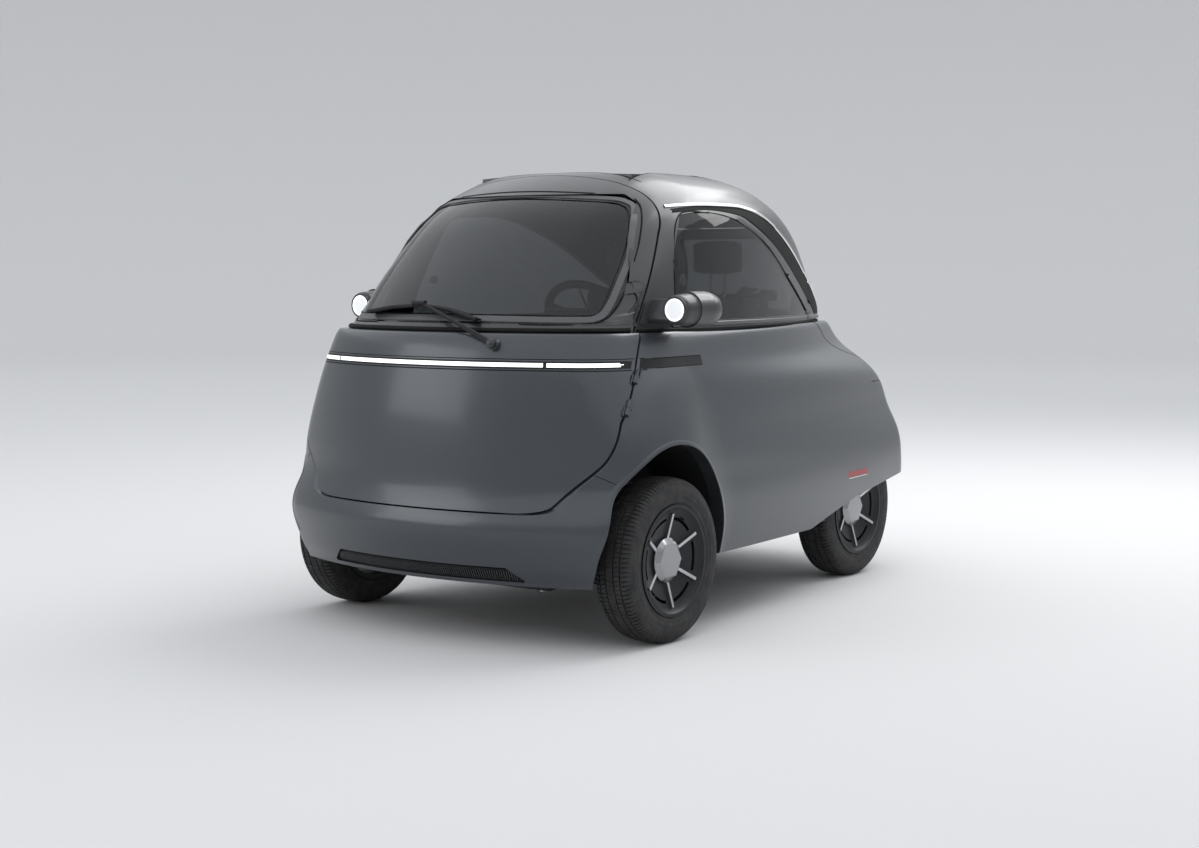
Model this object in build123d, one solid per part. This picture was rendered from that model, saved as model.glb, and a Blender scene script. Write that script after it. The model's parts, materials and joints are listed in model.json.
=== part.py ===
"""Front-entry microcar: an egg-shaped two-seater whose whole nose is its door.

All sizes are millimetres.  +Z is up, the nose faces -Y, the car's left is +X,
and the origin is on the ground below the middle of the bounding box.
"""
from build123d import *
from math import sin, cos, tan, atan2, radians, degrees, pi, hypot
import os

os.makedirs("parts", exist_ok=True)

# ------------------------------------------------------------------ sizes
WALL = 45.0            # body shell, outer skin to inner skin
GAP = 5.2              # running gap between a moving panel and its neighbour
SEAM = 3.0             # gap between two fixed panels
BELT_Z = 975.0         # plane where the glasshouse meets the lower body

FRONT_AXLE_Y = -785.0
REAR_AXLE_Y = 758.0
TYRE_R = 262.6         # 145/70 R13 under load
TYRE_W = 138.0
FRONT_WHEEL_X = 636.0  # middle plane of a front wheel
REAR_WHEEL_X = 444.0   # middle plane of a rear wheel
RIM_R = 177.0          # outer lip of the rim
AXLE_Z = TYRE_R
ARCH_R = 316.0         # front wheel opening
ARCH_Z = 312.0
WELL_X = 432.0         # inner wall of the front wheel housing
REAR_WELL_X = 362.0
REAR_WELL_R = 300.0

STEER_X = 245.0

# Lower body: horizontal outlines.  Each outline is a chain of tangent arcs:
# nose arc, nose corner, side arc to the widest point, wheel bulge, hollow
# behind it, rear side arc, rear corner and tail arc.
LOW_COLS = "z fy fr fc fs w wy br bd hr hd rs rc rr ry".split()
LOW = [dict(zip(LOW_COLS, r)) for r in [
    (190, -1205.0, 1500, 170, 1500, 700, -785, 700, 14, 900, 11.0, 16000, 130, 1800, 1165),
    (240, -1226.0, 1500, 170, 1500, 715, -785, 700, 15, 900, 11.8, 16000, 130, 1800, 1196),
    (290, -1243.0, 1500, 170, 1500, 726, -785, 700, 16, 900, 12.5, 16000, 130, 1800, 1219),
    (340, -1256.0, 1500, 170, 1500, 733, -785, 700, 16, 900, 12.5, 16000, 130, 1800, 1234),
    (385, -1258.0, 1500, 170, 1500, 736, -785, 700, 16, 900, 12.5, 16000, 130, 1800, 1240),
    (435, -1239.0, 1500, 170, 1500, 736, -785, 700, 16, 900, 12.5, 16000, 130, 1800, 1238),
    (500, -1222.0, 1350, 180, 1200, 732, -785, 700, 16, 900, 12.5, 16000, 130, 1800, 1232),
    (570, -1217.0, 1325, 185, 1100, 724, -785, 700, 15, 900, 11.3, 14000, 130, 1800, 1224),
    (640, -1213.0, 1300, 190, 1000, 712, -785, 700, 14, 900, 10.0, 12000, 130, 1800, 1209),
    (735, -1204.0, 1250, 200, 950, 685, -770, 900, 10, 1200, 7.0, 9000, 130, 1800, 1160),
    (810, -1192.0, 1225, 200, 940, 660, -760, 1200, 7, 1600, 4.0, 7500, 140, 1550, 1100),
    (880, -1178.0, 1200, 200, 930, 632, -750, 1500, 4, 2000, 1.0, 6000, 150, 1300, 1035),
    (935, -1163.0, 1160, 200, 940, 613, -740, 1500, 3, 2000, 1.0, 5000, 150, 1300, 972),
    (975, -1138.0, 1130, 180, 940, 594, -740, 1500, 3, 2000, 1.0, 5000, 150, 1300, 915),
]]
# Glasshouse: the same without bulge and hollow.  dz and dn lower and inset
# the inner skin's outline where the roof turns over.
TOP_COLS = "z fy fr fc fs w wy rs rc rr ry dz dn".split()
TOP = [dict(zip(TOP_COLS, r)) for r in [
    (975, -1122, 1100, 220, 1400, 584, -600, 3500, 180, 1300, 890, 0, 45),
    (1100, -1030, 1050, 280, 1300, 568, -540, 3300, 190, 1200, 815, 8, 43),
    (1200, -950, 1000, 300, 1200, 549, -490, 3000, 200, 1100, 730, 14, 42),
    (1300, -858, 950, 310, 1100, 524, -440, 2800, 210, 1000, 615, 20, 40),
    (1380, -765, 850, 300, 1000, 494, -400, 2500, 220, 900, 492, 26, 36),
    (1435, -675, 750, 280, 950, 455, -370, 2200, 230, 800, 370, 33, 32),
    (1475, -590, 650, 220, 900, 396, -330, 2000, 200, 700, 225, 40, 24),
    (1501, -450, 500, 130, 800, 270, -300, 1500, 100, 500, -20, 44, 14),
]]
ROOF_Z = 1501.0


# ------------------------------------------------------------- 2-D outlines
def corner_centre(ca, ra, rc, cb, rb, pick):
    """Centre of the circle of radius rc inside and touching circles a and b."""
    da, db = ra - rc, rb - rc
    dx, dy = cb[0] - ca[0], cb[1] - ca[1]
    d = hypot(dx, dy)
    a = (da * da - db * db + d * d) / (2 * d)
    h = max(da * da - a * a, 0.0) ** 0.5
    px, py = ca[0] + a * dx / d, ca[1] + a * dy / d
    c1 = (px + h * dy / d, py - h * dx / d)
    c2 = (px - h * dy / d, py + h * dx / d)
    return c1 if pick(c1) > pick(c2) else c2


def touch(c, k, r):
    """Point at distance r from centre c on the line towards k."""
    d = hypot(k[0] - c[0], k[1] - c[1])
    return (c[0] + (k[0] - c[0]) * r / d, c[1] + (k[1] - c[1]) * r / d)


def arc_mid(c, r, p, q):
    """Middle of the short arc from p to q about c."""
    m = ((p[0] + q[0]) / 2, (p[1] + q[1]) / 2)
    return touch(c, m, r)


def outline(L, off=0.0, z=None):
    """Closed wire of one horizontal outline, moved inwards by off."""
    z = L["z"] if z is None else z
    fy, ry, w = L["fy"] + off, L["ry"] - off, L["w"] - off
    fr, fc, fs = L["fr"] - off, L["fc"] - off, L["fs"] - off
    rs, rc, rr = L["rs"] - off, L["rc"] - off, L["rr"] - off
    cf, cs = (0.0, fy + fr), (w - fs, L["wy"])
    k = corner_centre(cf, fr, fc, cs, fs, lambda p: p[0] - p[1])
    half = []                       # (start, mid, end) of each arc, x >= 0
    nose = touch(cf, k, fr)
    a = touch(cs, k, fs)
    half.append((nose, arc_mid(k, fc, nose, a), a))
    p = (w, L["wy"])
    half.append((a, arc_mid(cs, fs, a, p), p))
    ang = 0.0
    if "br" in L:
        br, hr, bd, hd = L["br"] - off, L["hr"] + off, radians(L["bd"]), radians(L["hd"])
        c = (p[0] - br, p[1])
        q = (c[0] + br * cos(bd), c[1] + br * sin(bd))
        half.append((p, (c[0] + br * cos(bd / 2), c[1] + br * sin(bd / 2)), q))
        c = (q[0] + hr * cos(bd), q[1] + hr * sin(bd))
        ang = bd - hd
        am = bd - hd / 2
        s = (c[0] - hr * cos(ang), c[1] - hr * sin(ang))
        half.append((q, (c[0] - hr * cos(am), c[1] - hr * sin(am)), s))
        p = s
    cs = (p[0] - rs * cos(ang), p[1] - rs * sin(ang))
    cr = (0.0, ry - rr)
    k = corner_centre(cs, rs, rc, cr, rr, lambda p: p[0] + p[1])
    a, b = touch(cs, k, rs), touch(cr, k, rr)
    half.append((p, arc_mid(cs, rs, p, a), a))
    half.append((a, arc_mid(k, rc, a, b), b))
    arcs = [((-nose[0], nose[1]), (0.0, fy), nose)] + half
    arcs.append((b, (0.0, ry), (-b[0], b[1])))
    arcs += [((-e[0], e[1]), (-m[0], m[1]), (-s[0], s[1])) for s, m, e in reversed(half)]
    return Wire([ThreePointArc((s[0], s[1], z), (m[0], m[1], z), (e[0], e[1], z))
                 for s, m, e in arcs])


def hull(levels):
    """Smooth solid through (outline, inset, height) levels."""
    return Solid.make_loft([outline(L, off, z) for L, off, z in levels])


def low_solid(off):
    """Lower body, its skin moved inwards by off (open at floor and belt)."""
    lev = [(L, off, L["z"]) for L in LOW]
    return hull(lev)


def top_solid(t):
    """Glasshouse with its skin moved inwards by t (0 is outside, 1 inside)."""
    lev = [(L, t * L["dn"], L["z"] - t * L["dz"]) for L in TOP]
    return hull(lev)


# --------------------------------------------------------- cutters and blocks
def box(x0, x1, y0, y1, z0, z1):
    return Pos((x0 + x1) / 2, (y0 + y1) / 2, (z0 + z1) / 2) * Box(x1 - x0, y1 - y0, z1 - z0)


def cyl_x(x0, x1, y, z, r):
    return Pos((x0 + x1) / 2, y, z) * Rot(0, 90, 0) * Cylinder(r, x1 - x0)


def cyl_y(y0, y1, x, z, r):
    return Pos(x, (y0 + y1) / 2, z) * Rot(90, 0, 0) * Cylinder(r, y1 - y0)


def cyl_z(x, y, z0, z1, r):
    return Pos(x, y, (z0 + z1) / 2) * Cylinder(r, z1 - z0)


def rod(p, q, r):
    """Round bar from p to q."""
    v = Vector(*q) - Vector(*p)
    return Solid.make_cylinder(r, v.length, Plane(origin=p, z_dir=v.normalized()))


def both(shape):
    """A shape with its mirror image across the car's middle plane."""
    return [shape, mirror(shape, about=Plane.YZ)]


def side_prism(edges, x0=-900.0, x1=900.0):
    """Prism along X of a closed side-view outline given as (y, z) edges."""
    f = make_face(Wire(edges))
    s = extrude(f, amount=x1 - x0, dir=(1, 0, 0))
    return Pos(x0, 0, 0) * s


def front_prism(edges, y0, y1):
    """Prism along Y of a closed front-view outline given as (x, z) edges."""
    f = make_face(Wire(edges))
    return Pos(0, y0, 0) * extrude(f, amount=y1 - y0, dir=(0, 1, 0))


def yz(*pts):
    """Open chain of straight edges through (y, z) points at x = 0."""
    return [Line((0, a[0], a[1]), (0, b[0], b[1])) for a, b in zip(pts, pts[1:])]


def round_poly(pts, radii, plane):
    """Rounded closed polygon on the given plane from 2-D points."""
    f = make_face(Polyline(*[(p[0], p[1]) for p in pts], close=True))
    for p, r in zip(pts, radii):
        if r > 0:
            v = min(f.vertices(), key=lambda v: hypot(v.X - p[0], v.Y - p[1]))
            f = fillet(v, r)
    return plane * f


# Side-view plane: local x is the car's Y, local y is Z.
SIDE = Plane(origin=(0, 0, 0), x_dir=(0, 1, 0), z_dir=(1, 0, 0))
FRONT = Plane(origin=(0, 0, 0), x_dir=(1, 0, 0), z_dir=(0, -1, 0))


def side_cut(pts, radii, x0=-900.0, x1=900.0):
    return Pos(x0, 0, 0) * extrude(round_poly(pts, radii, SIDE), amount=x1 - x0, dir=(1, 0, 0))


def front_cut(pts, radii, y0, y1):
    return Pos(0, y0, 0) * extrude(round_poly(pts, radii, FRONT), amount=y1 - y0, dir=(0, 1, 0))


# ------------------------------------------------------------ panel seams
def door_cut(d):
    """Region in front of the door's side seam, moved forwards and up by d."""
    e = yz((-546 - d, 1700), (-546 - d, 1420 + d))
    e.append(ThreePointArc((0, -546 - d, 1420 + d), (0, -558 - d, 1360 + d), (0, -600 - d, 1290 + d)))
    e += yz((-600 - d, 1290 + d), (-800 - d, 1000 + d), (-1001 - d, 702 + d))
    e.append(ThreePointArc((0, -1001 - d, 702 + d), (0, -1059 - d, 572 + d), (0, -1142 - d, 447 + d)))
    e.append(ThreePointArc((0, -1142 - d, 447 + d), (0, -1162 - d, 432 + d), (0, -1190 - d, 425 + d)))
    e += yz((-1190 - d, 425 + d), (-1500, 424 + d), (-1500, 1700), (-546 - d, 1700))
    return side_prism(e)


# Rear hatch: from the roof's back edge down to the tail, on three sides
# inside the rear corners.
HATCH_TOP_Z = 1335.0
HATCH_LOW_Z = 560.0


def hatch_cut(d):
    """Region of the tailgate seen from behind, shrunk by d, and behind the rear corners."""
    back = front_cut([(-250 + d, HATCH_TOP_Z - d), (250 - d, HATCH_TOP_Z - d), (395 - d, 1000),
                      (395 - d, 760), (255 - d, HATCH_LOW_Z + d), (-255 + d, HATCH_LOW_Z + d),
                      (-395 + d, 760), (-395 + d, 1000)],
                     [70, 70, 200, 120, 80, 80, 120, 200], 300.0, 1500.0)
    return back


# ---------------------------------------------------------- body skins
low_out, low_in = low_solid(0.0), low_solid(WALL)
low_in = (low_in + extrude(Face(outline(LOW[0], WALL)), amount=-60, dir=(0, 0, 1))
          + extrude(Face(outline(LOW[-1], WALL)), amount=60, dir=(0, 0, 1)))
top_out, top_in = top_solid(0.0), top_solid(1.0)
low_shell = low_out - low_in
top_shell = top_out - top_in
shell = low_shell + top_shell


def export(name, shape, crumbs=0.01):
    """Write one node; like pieces are given as a list."""
    parts = shape if isinstance(shape, list) else [shape]
    solids = [s for p in parts for s in p.solids()]
    big = max(s.volume for s in solids)
    solids = [s for s in solids if s.volume > crumbs * big]
    out = solids[0] if len(solids) == 1 else Compound(solids)
    export_step(out, f"parts/{name}.step")
    print(name, len(solids), round(sum(s.volume for s in solids) / 1e3))


# Wheel wells cut from the skin and the floor; at the back a thin skirt of
# skin hangs outside the wheel.
INLAY = 9.0            # depth of lamps and strips set into the skin
low_9, low_9e = low_solid(INLAY), low_solid(INLAY + 0.3)
skirt_in = low_9e


def wells(d=0.0):
    out = []
    for s in (1, -1):
        w = cyl_x(WELL_X - d, 900, FRONT_AXLE_Y, ARCH_Z, ARCH_R + d)
        w += box(WELL_X - d, 900, FRONT_AXLE_Y - 292 - d, FRONT_AXLE_Y + 292 + d, 100, ARCH_Z)
        r = cyl_x(REAR_WELL_X - d, 700, REAR_AXLE_Y, AXLE_Z, REAR_WELL_R + d)
        r += box(REAR_WELL_X - d, 700, REAR_AXLE_Y - REAR_WELL_R - d,
                 REAR_AXLE_Y + REAR_WELL_R + d, 60, AXLE_Z)
        w = w + (r & skirt_in)
        out.append(w if s > 0 else mirror(w, about=Plane.YZ))
    return out


SILL_Z = 246.0
# Lower edge of the body behind the front wheel: level sill, then a sweep up
# over the rear wheel to the tail.
under = side_cut([(-1100, 0), (-1100, SILL_Z), (220, SILL_Z), (620, 325), (1010, 362), (1400, 396), (1400, 0)],
                 [0, 0, 120, 200, 300, 0, 0])
under_front = box(-900, 900, -1400, -1000, 0, 200)

BUMPER_SEAM = [(-1500, 700), (-1085, 560), (-1062, 541), (-1000, 492), (-1000, 100), (-1500, 100)]
TAIL_SEAM = [(930, 740), (1085, 560), (1150, 380), (1150, 100), (1500, 100), (1500, 740)]


def shifted(pts, dy, dz=0.0):
    return [(p[0] + dy, p[1] + dz) for p in pts]


# ---------------------------------------------------------- glazing outlines
def window_edges(d):
    """Side window opening, drawn in by d on every side."""
    return (yz((-648 + d, 990 + d), (-500 + d, 1372 - d))
            + [ThreePointArc((0, -500 + d, 1372 - d), (0, -240, 1391 - d), (0, -21, 1388 - d)),
               ThreePointArc((0, -21, 1388 - d), (0, 300 - d * 0.4, 1312 - d * 0.9), (0, 616 - d * 0.5, 1152 - d * 0.9)),
               Line((0, 616 - d * 0.5, 1152 - d * 0.9), (0, 800 - 1.5 * d, 1005)),
               Line((0, 800 - 1.5 * d, 1005), (0, 812 - 1.7 * d, 990 + d)),
               Line((0, 812 - 1.7 * d, 990 + d), (0, -648 + d, 990 + d))])


def glass_edges(d):
    """Visible pane of the side window, grown by d."""
    return [Line((0, -602 - d, 1008 - d), (0, -574 - d, 1150)),
            Line((0, -574 - d, 1150), (0, -560 - d, 1215)),
            Line((0, -560 - d, 1215), (0, -470 - d * 0.6, 1352 + d * 0.6)),
            ThreePointArc((0, -470 - d * 0.6, 1352 + d * 0.6), (0, -280, 1366 + d), (0, -95 + d * 0.3, 1346 + d)),
            ThreePointArc((0, -95 + d * 0.3, 1346 + d), (0, 130 + d * 0.6, 1268 + d * 0.8), (0, 331 + d * 0.7, 1153 + d * 0.7)),
            Line((0, 331 + d * 0.7, 1153 + d * 0.7), (0, 575 + d * 1.2, 1008 - d)),
            Line((0, 575 + d * 1.2, 1008 - d), (0, -602 - d, 1008 - d))]


def screen_cut(d, y0=-1300.0, y1=-300.0):
    """Windscreen outline seen from the front, grown by d."""
    return front_cut([(-548 - d, 1004 - d), (548 + d, 1004 - d), (552 + d, 1080), (424 + d, 1392 + d * 0.6),
                      (372, 1420 + d), (-372, 1420 + d), (-424 - d, 1392 + d * 0.6), (-552 - d, 1080)],
                     [45, 45, 60, 30, 40, 40, 30, 60], y0, y1)


def back_glass_cut(d):
    return front_cut([(-205 - d, 1300 + d), (205 + d, 1300 + d), (325 + d, 1010 - d), (-325 - d, 1010 - d)],
                     [45, 45, 50, 50], 300.0, 1500.0)


skin_a, skin_b = top_solid(0.16), top_solid(0.30)   # faces of the panes
pane_shell = skin_a - skin_b
frame_shell = top_solid(0.08) - top_solid(0.55)

# ---------------------------------------------------------- hinge lines
# Door: inclined axis just outside the left seam.
DOOR_P = (662.5, -1001.0 - GAP / 2, 702.0 + GAP / 2)
DOOR_Q = (637.0, -886.4 - GAP / 2, 873.0 + GAP / 2)
DOOR_DIR = (Vector(*DOOR_Q) - Vector(*DOOR_P)).normalized()
HATCH_HINGE = (0.0, 590.0, HATCH_TOP_Z - 2.0)


def along_door(t):
    """Point on the door's hinge line, t mm above DOOR_P."""
    v = Vector(*DOOR_P) + DOOR_DIR * t
    return (v.X, v.Y, v.Z)


# two hinges; on each the door's knuckle sits on the body's
HINGES = [30.0, 145.0]
KN_R, KN_L, PIN_R = 9.0, 26.0, 4.0
door_kn, body_kn, door_room, body_room = [], [], [], []
for t in HINGES:
    body_kn.append(rod(along_door(t), along_door(t + KN_L), KN_R))
    body_kn.append(rod(along_door(t), along_door(t + 2 * KN_L), PIN_R))
    dk = rod(along_door(t + KN_L + 1.5), along_door(t + 2 * KN_L + 1.5), KN_R)
    door_kn.append(dk - rod(along_door(t), along_door(t + 3 * KN_L), PIN_R + 0.6))
    body_room.append(rod(along_door(t + KN_L + 0.5), along_door(t + 2 * KN_L + 7), KN_R + 6))
    door_room.append(rod(along_door(t - 6), along_door(t + KN_L + 0.5), KN_R + 6))

# ---------------------------------------------------------- body panels
well_l, well_r = wells()
door_room_cut, hatch_room_cut = door_cut(0.0), hatch_cut(0.0)
nose_zone = side_cut(BUMPER_SEAM, [0] * 6)
nose_zone_b = side_cut(shifted(BUMPER_SEAM, -SEAM), [0] * 6)
tail_zone = side_cut(TAIL_SEAM, [0] * 6)
tail_zone_b = side_cut(shifted(TAIL_SEAM, SEAM, -SEAM), [0] * 6)

front_bumper = (low_shell & nose_zone_b) - door_room_cut - under_front - well_l - well_r
rear_bumper = (low_shell & tail_zone_b) - hatch_room_cut - under
body_left = (low_shell & box(SEAM / 2, 900, -1500, 1500, 0, BELT_Z)) - door_room_cut - hatch_room_cut
body_left = body_left - nose_zone - tail_zone - under - well_l
body_right = mirror(body_left, about=Plane.YZ)
for r in body_room:
    body_left -= r
for k in body_kn:
    body_left += k

front_door = (shell & door_cut(GAP)) - screen_cut(0.3)
for r in door_room:
    front_door -= r
for k in door_kn:
    front_door += k

# shelf under the windscreen between the door skins is left open to the cabin
windscreen = pane_shell & screen_cut(0.0) & door_cut(GAP + 6)

window_open = side_prism(window_edges(0.0))
top_fixed = top_shell - door_room_cut - hatch_room_cut
roof_panel = top_fixed - window_open
CROWN_R = 6000.0
SUNROOF = (-325.0, 325.0, -490.0, -70.0)
roof_panel -= box(SUNROOF[0], SUNROOF[1], SUNROOF[2], SUNROOF[3], 1468, 1600)
roof_panel -= box(SUNROOF[0] + 22, SUNROOF[1] - 22, SUNROOF[2] + 22, SUNROOF[3] - 22, 1380, 1600)
crown = Pos(0, -280, ROOF_Z + 2 - CROWN_R) * Sphere(CROWN_R)
sunroof = crown & box(SUNROOF[0] + SEAM, SUNROOF[1] - SEAM, SUNROOF[2] + SEAM, SUNROOF[3] - SEAM, 1468.3, 1600)

window_frames = (frame_shell & side_prism(window_edges(0.3))) - side_prism(glass_edges(-0.0)) - door_cut(-2.0) - hatch_cut(-3.0)
side_windows = pane_shell & side_prism(glass_edges(-0.3))
side_windows = side_windows - hatch_cut(-3.0) - box(-200, 200, -1500, 1500, 900, 1600) - door_cut(-2.0)

rear_hatch = (shell & hatch_cut(GAP)) - back_glass_cut(0.3)
rear_window = pane_shell & back_glass_cut(0.0) & box(-500, 500, 300, 1500, BELT_Z + 5, 1500)


# ---------------------------------------------------------- floor and wells
FLOOR = (SILL_Z, SILL_Z + 26.0)          # underside and top of the main floor
BOOT = (432.0, 446.0)                    # luggage floor over the rear axle
EASE = 0.3                               # seat between bonded neighbours
low_core = low_solid(WALL + EASE)
low_core_b = low_core + extrude(Face(outline(LOW[0], WALL + EASE)), amount=-60, dir=(0, 0, 1))

LINER = 5.0
liner_zone = []
for s in (1, -1):
    f = (cyl_x(WELL_X, 900, FRONT_AXLE_Y, ARCH_Z, ARCH_R)
         + box(WELL_X, 900, FRONT_AXLE_Y - 292, FRONT_AXLE_Y + 292, 100, ARCH_Z))
    g = ((cyl_x(WELL_X - LINER, 900, FRONT_AXLE_Y, ARCH_Z, ARCH_R + LINER) & box(0, 900, -1500, 0, 212, 900))
         + box(WELL_X - LINER, 900, FRONT_AXLE_Y - 292 - LINER, FRONT_AXLE_Y + 292 + LINER, 212, ARCH_Z))
    r = (cyl_x(REAR_WELL_X, 900, REAR_AXLE_Y, AXLE_Z, REAR_WELL_R)
         + box(REAR_WELL_X, 900, REAR_AXLE_Y - REAR_WELL_R, REAR_AXLE_Y + REAR_WELL_R, 60, AXLE_Z))
    q = (cyl_x(REAR_WELL_X - LINER, 900, REAR_AXLE_Y, AXLE_Z, REAR_WELL_R + LINER)
         & box(0, 900, -1500, 1500, 396, 700))
    front_liner = (g - f) & low_core_b
    front_liner -= door_cut(-6.0)
    front_liner -= box(0, 900, -1400, -1068, 0, 500)
    rear_liner = (q - r) & low_core_b
    for p in (front_liner, rear_liner):
        liner_zone.append(p if s > 0 else mirror(p, about=Plane.YZ))
well_out_l, well_out_r = wells(LINER + EASE)

floor = box(-800, 800, -1120, 440, *FLOOR)
floor += box(-800, 800, 440 - 14, 440, FLOOR[0], BOOT[1])
floor += box(-800, 800, 440 - 14, 1190, *BOOT)
floor = floor & low_core_b
floor -= well_out_l + well_out_r
floor_pan = floor & box(-800, 800, -1112, 1500, 0, 900)

# ---------------------------------------------------------- wheels
def tyre_solid():
    """Tyre open towards the rim, turned about X."""
    h = TYRE_W / 2
    with BuildSketch(Plane.XY) as sk:
        with BuildLine():
            Line((-h + 9, RIM_R - 9), (-h + 2, RIM_R + 14))
            ThreePointArc((-h + 2, RIM_R + 14), (-h, 217), (-h + 5, 240))
            ThreePointArc((-h + 5, 240), (-h + 9, 252), (-h + 21, 258.4))
            ThreePointArc((-h + 21, 258.4), (0, TYRE_R), (h - 21, 258.4))
            ThreePointArc((h - 21, 258.4), (h - 9, 252), (h - 5, 240))
            ThreePointArc((h - 5, 240), (h, 217), (h - 2, RIM_R + 14))
            Line((h - 2, RIM_R + 14), (h - 9, RIM_R - 9))
            Line((h - 9, RIM_R - 9), (h - 26, RIM_R - 9))
            Line((h - 26, RIM_R - 9), (h - 12, 215))
            ThreePointArc((h - 12, 215), (h - 16, 240), (h - 28, 246))
            Line((h - 28, 246), (-h + 28, 246))
            ThreePointArc((-h + 28, 246), (-h + 16, 240), (-h + 12, 215))
            Line((-h + 12, 215), (-h + 26, RIM_R - 9))
            Line((-h + 26, RIM_R - 9), (-h + 9, RIM_R - 9))
        make_face()
    return revolve(sk.sketch, Axis.X)


SPINDLE_R = 15.0
HUB_FACE = 28.0         # outer face of the dished disc at the hub
DISH_X = 50.0           # the same where the dish meets the cover's edge
BAR_END_R = 148.0
SLOT_R = (127.0, 137.0)


def rim_solid():
    """Rim well, dished disc and hub boss in one piece, turned about X."""
    pts = [(-67, RIM_R), (-63, RIM_R), (-60.3, RIM_R - 9.3), (-20, RIM_R - 9.3), (-14, RIM_R - 22), (14, RIM_R - 22),
           (20, RIM_R - 9.3), (60.3, RIM_R - 9.3), (63, RIM_R), (67, RIM_R), (67, RIM_R - 10),
           (62, RIM_R - 14), (DISH_X + 4, RIM_R - 26), (DISH_X, 140), (HUB_FACE, 62), (HUB_FACE, SPINDLE_R),
           (-4, SPINDLE_R), (-4, 48), (HUB_FACE - 6, 56), (DISH_X - 6, 139), (DISH_X - 4, RIM_R - 27), (22, RIM_R - 27),
           (-60, RIM_R - 14), (-67, RIM_R - 14)]
    r = revolve(make_face(Polyline(*pts, close=True)), Axis.X)
    # six arc slots between the bars, then the wheel bolts
    window = make_face(Polyline((25, SLOT_R[0]), (70, SLOT_R[0]), (70, SLOT_R[1]), (25, SLOT_R[1]), close=True))
    window = revolve(window, Axis.X, revolution_arc=42)
    for i in range(6):
        r -= Rot(60 * i - 21, 0, 0) * window
    for i in range(4):
        a = radians(45 + 90 * i)
        r -= cyl_x(-20, 80, 50 * cos(a), 50 * sin(a), 6.5)
    return r


def cap_solid():
    """Silver hub cap: a bevelled dome with six narrow bars lying on the dish."""
    x0 = HUB_FACE + 0.3
    prof = [(x0, 0), (x0, 58), (x0 + 9, 58), (x0 + 18, 47), (x0 + 20.5, 30), (x0 + 21.5, 0)]
    c = revolve(make_face(Polyline(*prof, close=True)), Axis.X)
    bar = extrude(make_face(Polyline((x0, 50), (x0, 62), (DISH_X + 0.4, 140), (DISH_X + 3.5, BAR_END_R), (DISH_X + 11, BAR_END_R),
                                     (DISH_X + 9, 140), (x0 + 9, 62), (x0 + 9, 50), close=True)), amount=5, both=True)
    for i in range(6):
        c += Rot(60 * i + 30, 0, 0) * bar
    return c


tyre, rim, cap = tyre_solid(), rim_solid(), cap_solid()
WHEELS = {"fl": (1, FRONT_WHEEL_X, FRONT_AXLE_Y), "fr": (-1, FRONT_WHEEL_X, FRONT_AXLE_Y),
          "rl": (1, REAR_WHEEL_X, REAR_AXLE_Y), "rr": (-1, REAR_WHEEL_X, REAR_AXLE_Y)}


def place_wheel(shape, key):
    s, x, y = WHEELS[key]
    p = Pos(x, y, AXLE_Z) * shape
    return p if s > 0 else mirror(p, about=Plane.YZ)


# ---------------------------------------------------------- front axle
KING_X = 586.0          # steering axis
KING_LOW, KING_HIGH = 178.0, 350.0
ARM_Z = 176.0
DAMPER_X = 492.0


def knuckle():
    """Upright with spindle, steering arm and ball seats (left side)."""
    k = box(KING_X - 13, KING_X + 13, FRONT_AXLE_Y - 20, FRONT_AXLE_Y + 20, KING_LOW + 14, KING_HIGH - 14)
    k += cyl_x(KING_X + 10, FRONT_WHEEL_X - 6, FRONT_AXLE_Y, AXLE_Z, 34)
    k += cyl_x(KING_X, FRONT_WHEEL_X + HUB_FACE - 2, FRONT_AXLE_Y, AXLE_Z, SPINDLE_R - 0.4)
    k += box(KING_X - 11, KING_X + 11, FRONT_AXLE_Y + 18, FRONT_AXLE_Y + 118, 206, 224)
    return k


def front_arm():
    """Lower wishbone with its ball pin (left side)."""
    a = rod((KING_X, FRONT_AXLE_Y, ARM_Z), (330, FRONT_AXLE_Y - 120, ARM_Z + 14), 11)
    a += rod((KING_X, FRONT_AXLE_Y, ARM_Z), (330, FRONT_AXLE_Y + 120, ARM_Z + 14), 11)
    a += cyl_z(KING_X, FRONT_AXLE_Y, ARM_Z - 14, ARM_Z + 15.7, 17)
    a += box(DAMPER_X - 30, DAMPER_X + 30, FRONT_AXLE_Y - 60, FRONT_AXLE_Y + 60, ARM_Z - 4, ARM_Z + 22)
    a += cyl_y(FRONT_AXLE_Y - 145, FRONT_AXLE_Y + 145, 330, ARM_Z + 14, 14)
    return a


def front_strut():
    """Damper from the lower wishbone up to the wheel housing (left side)."""
    y = FRONT_AXLE_Y
    s = cyl_z(DAMPER_X, y, ARM_Z + 22.3, 400, 24)
    s += cyl_z(DAMPER_X, y, 400, 560, 10)
    s += cyl_z(DAMPER_X, y, 300, 308, 40) + cyl_z(DAMPER_X, y, 560, ARCH_Z + ARCH_R - 3.2, 40)
    return s


def front_upper_arm():
    """Upper wishbone from the housing's inner wall to the upright (left side)."""
    z = KING_HIGH
    a = rod((KING_X, FRONT_AXLE_Y, z), (WELL_X + 14, FRONT_AXLE_Y - 70, z), 9)
    a += rod((KING_X, FRONT_AXLE_Y, z), (WELL_X + 14, FRONT_AXLE_Y + 70, z), 9)
    a += cyl_z(KING_X, FRONT_AXLE_Y, z - 13.7, z + 12, 17)
    for y in (FRONT_AXLE_Y - 70, FRONT_AXLE_Y + 70):
        a += box(WELL_X + 0.3, WELL_X + 18, y - 16, y + 16, z - 16, z + 16)
    return a


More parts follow.
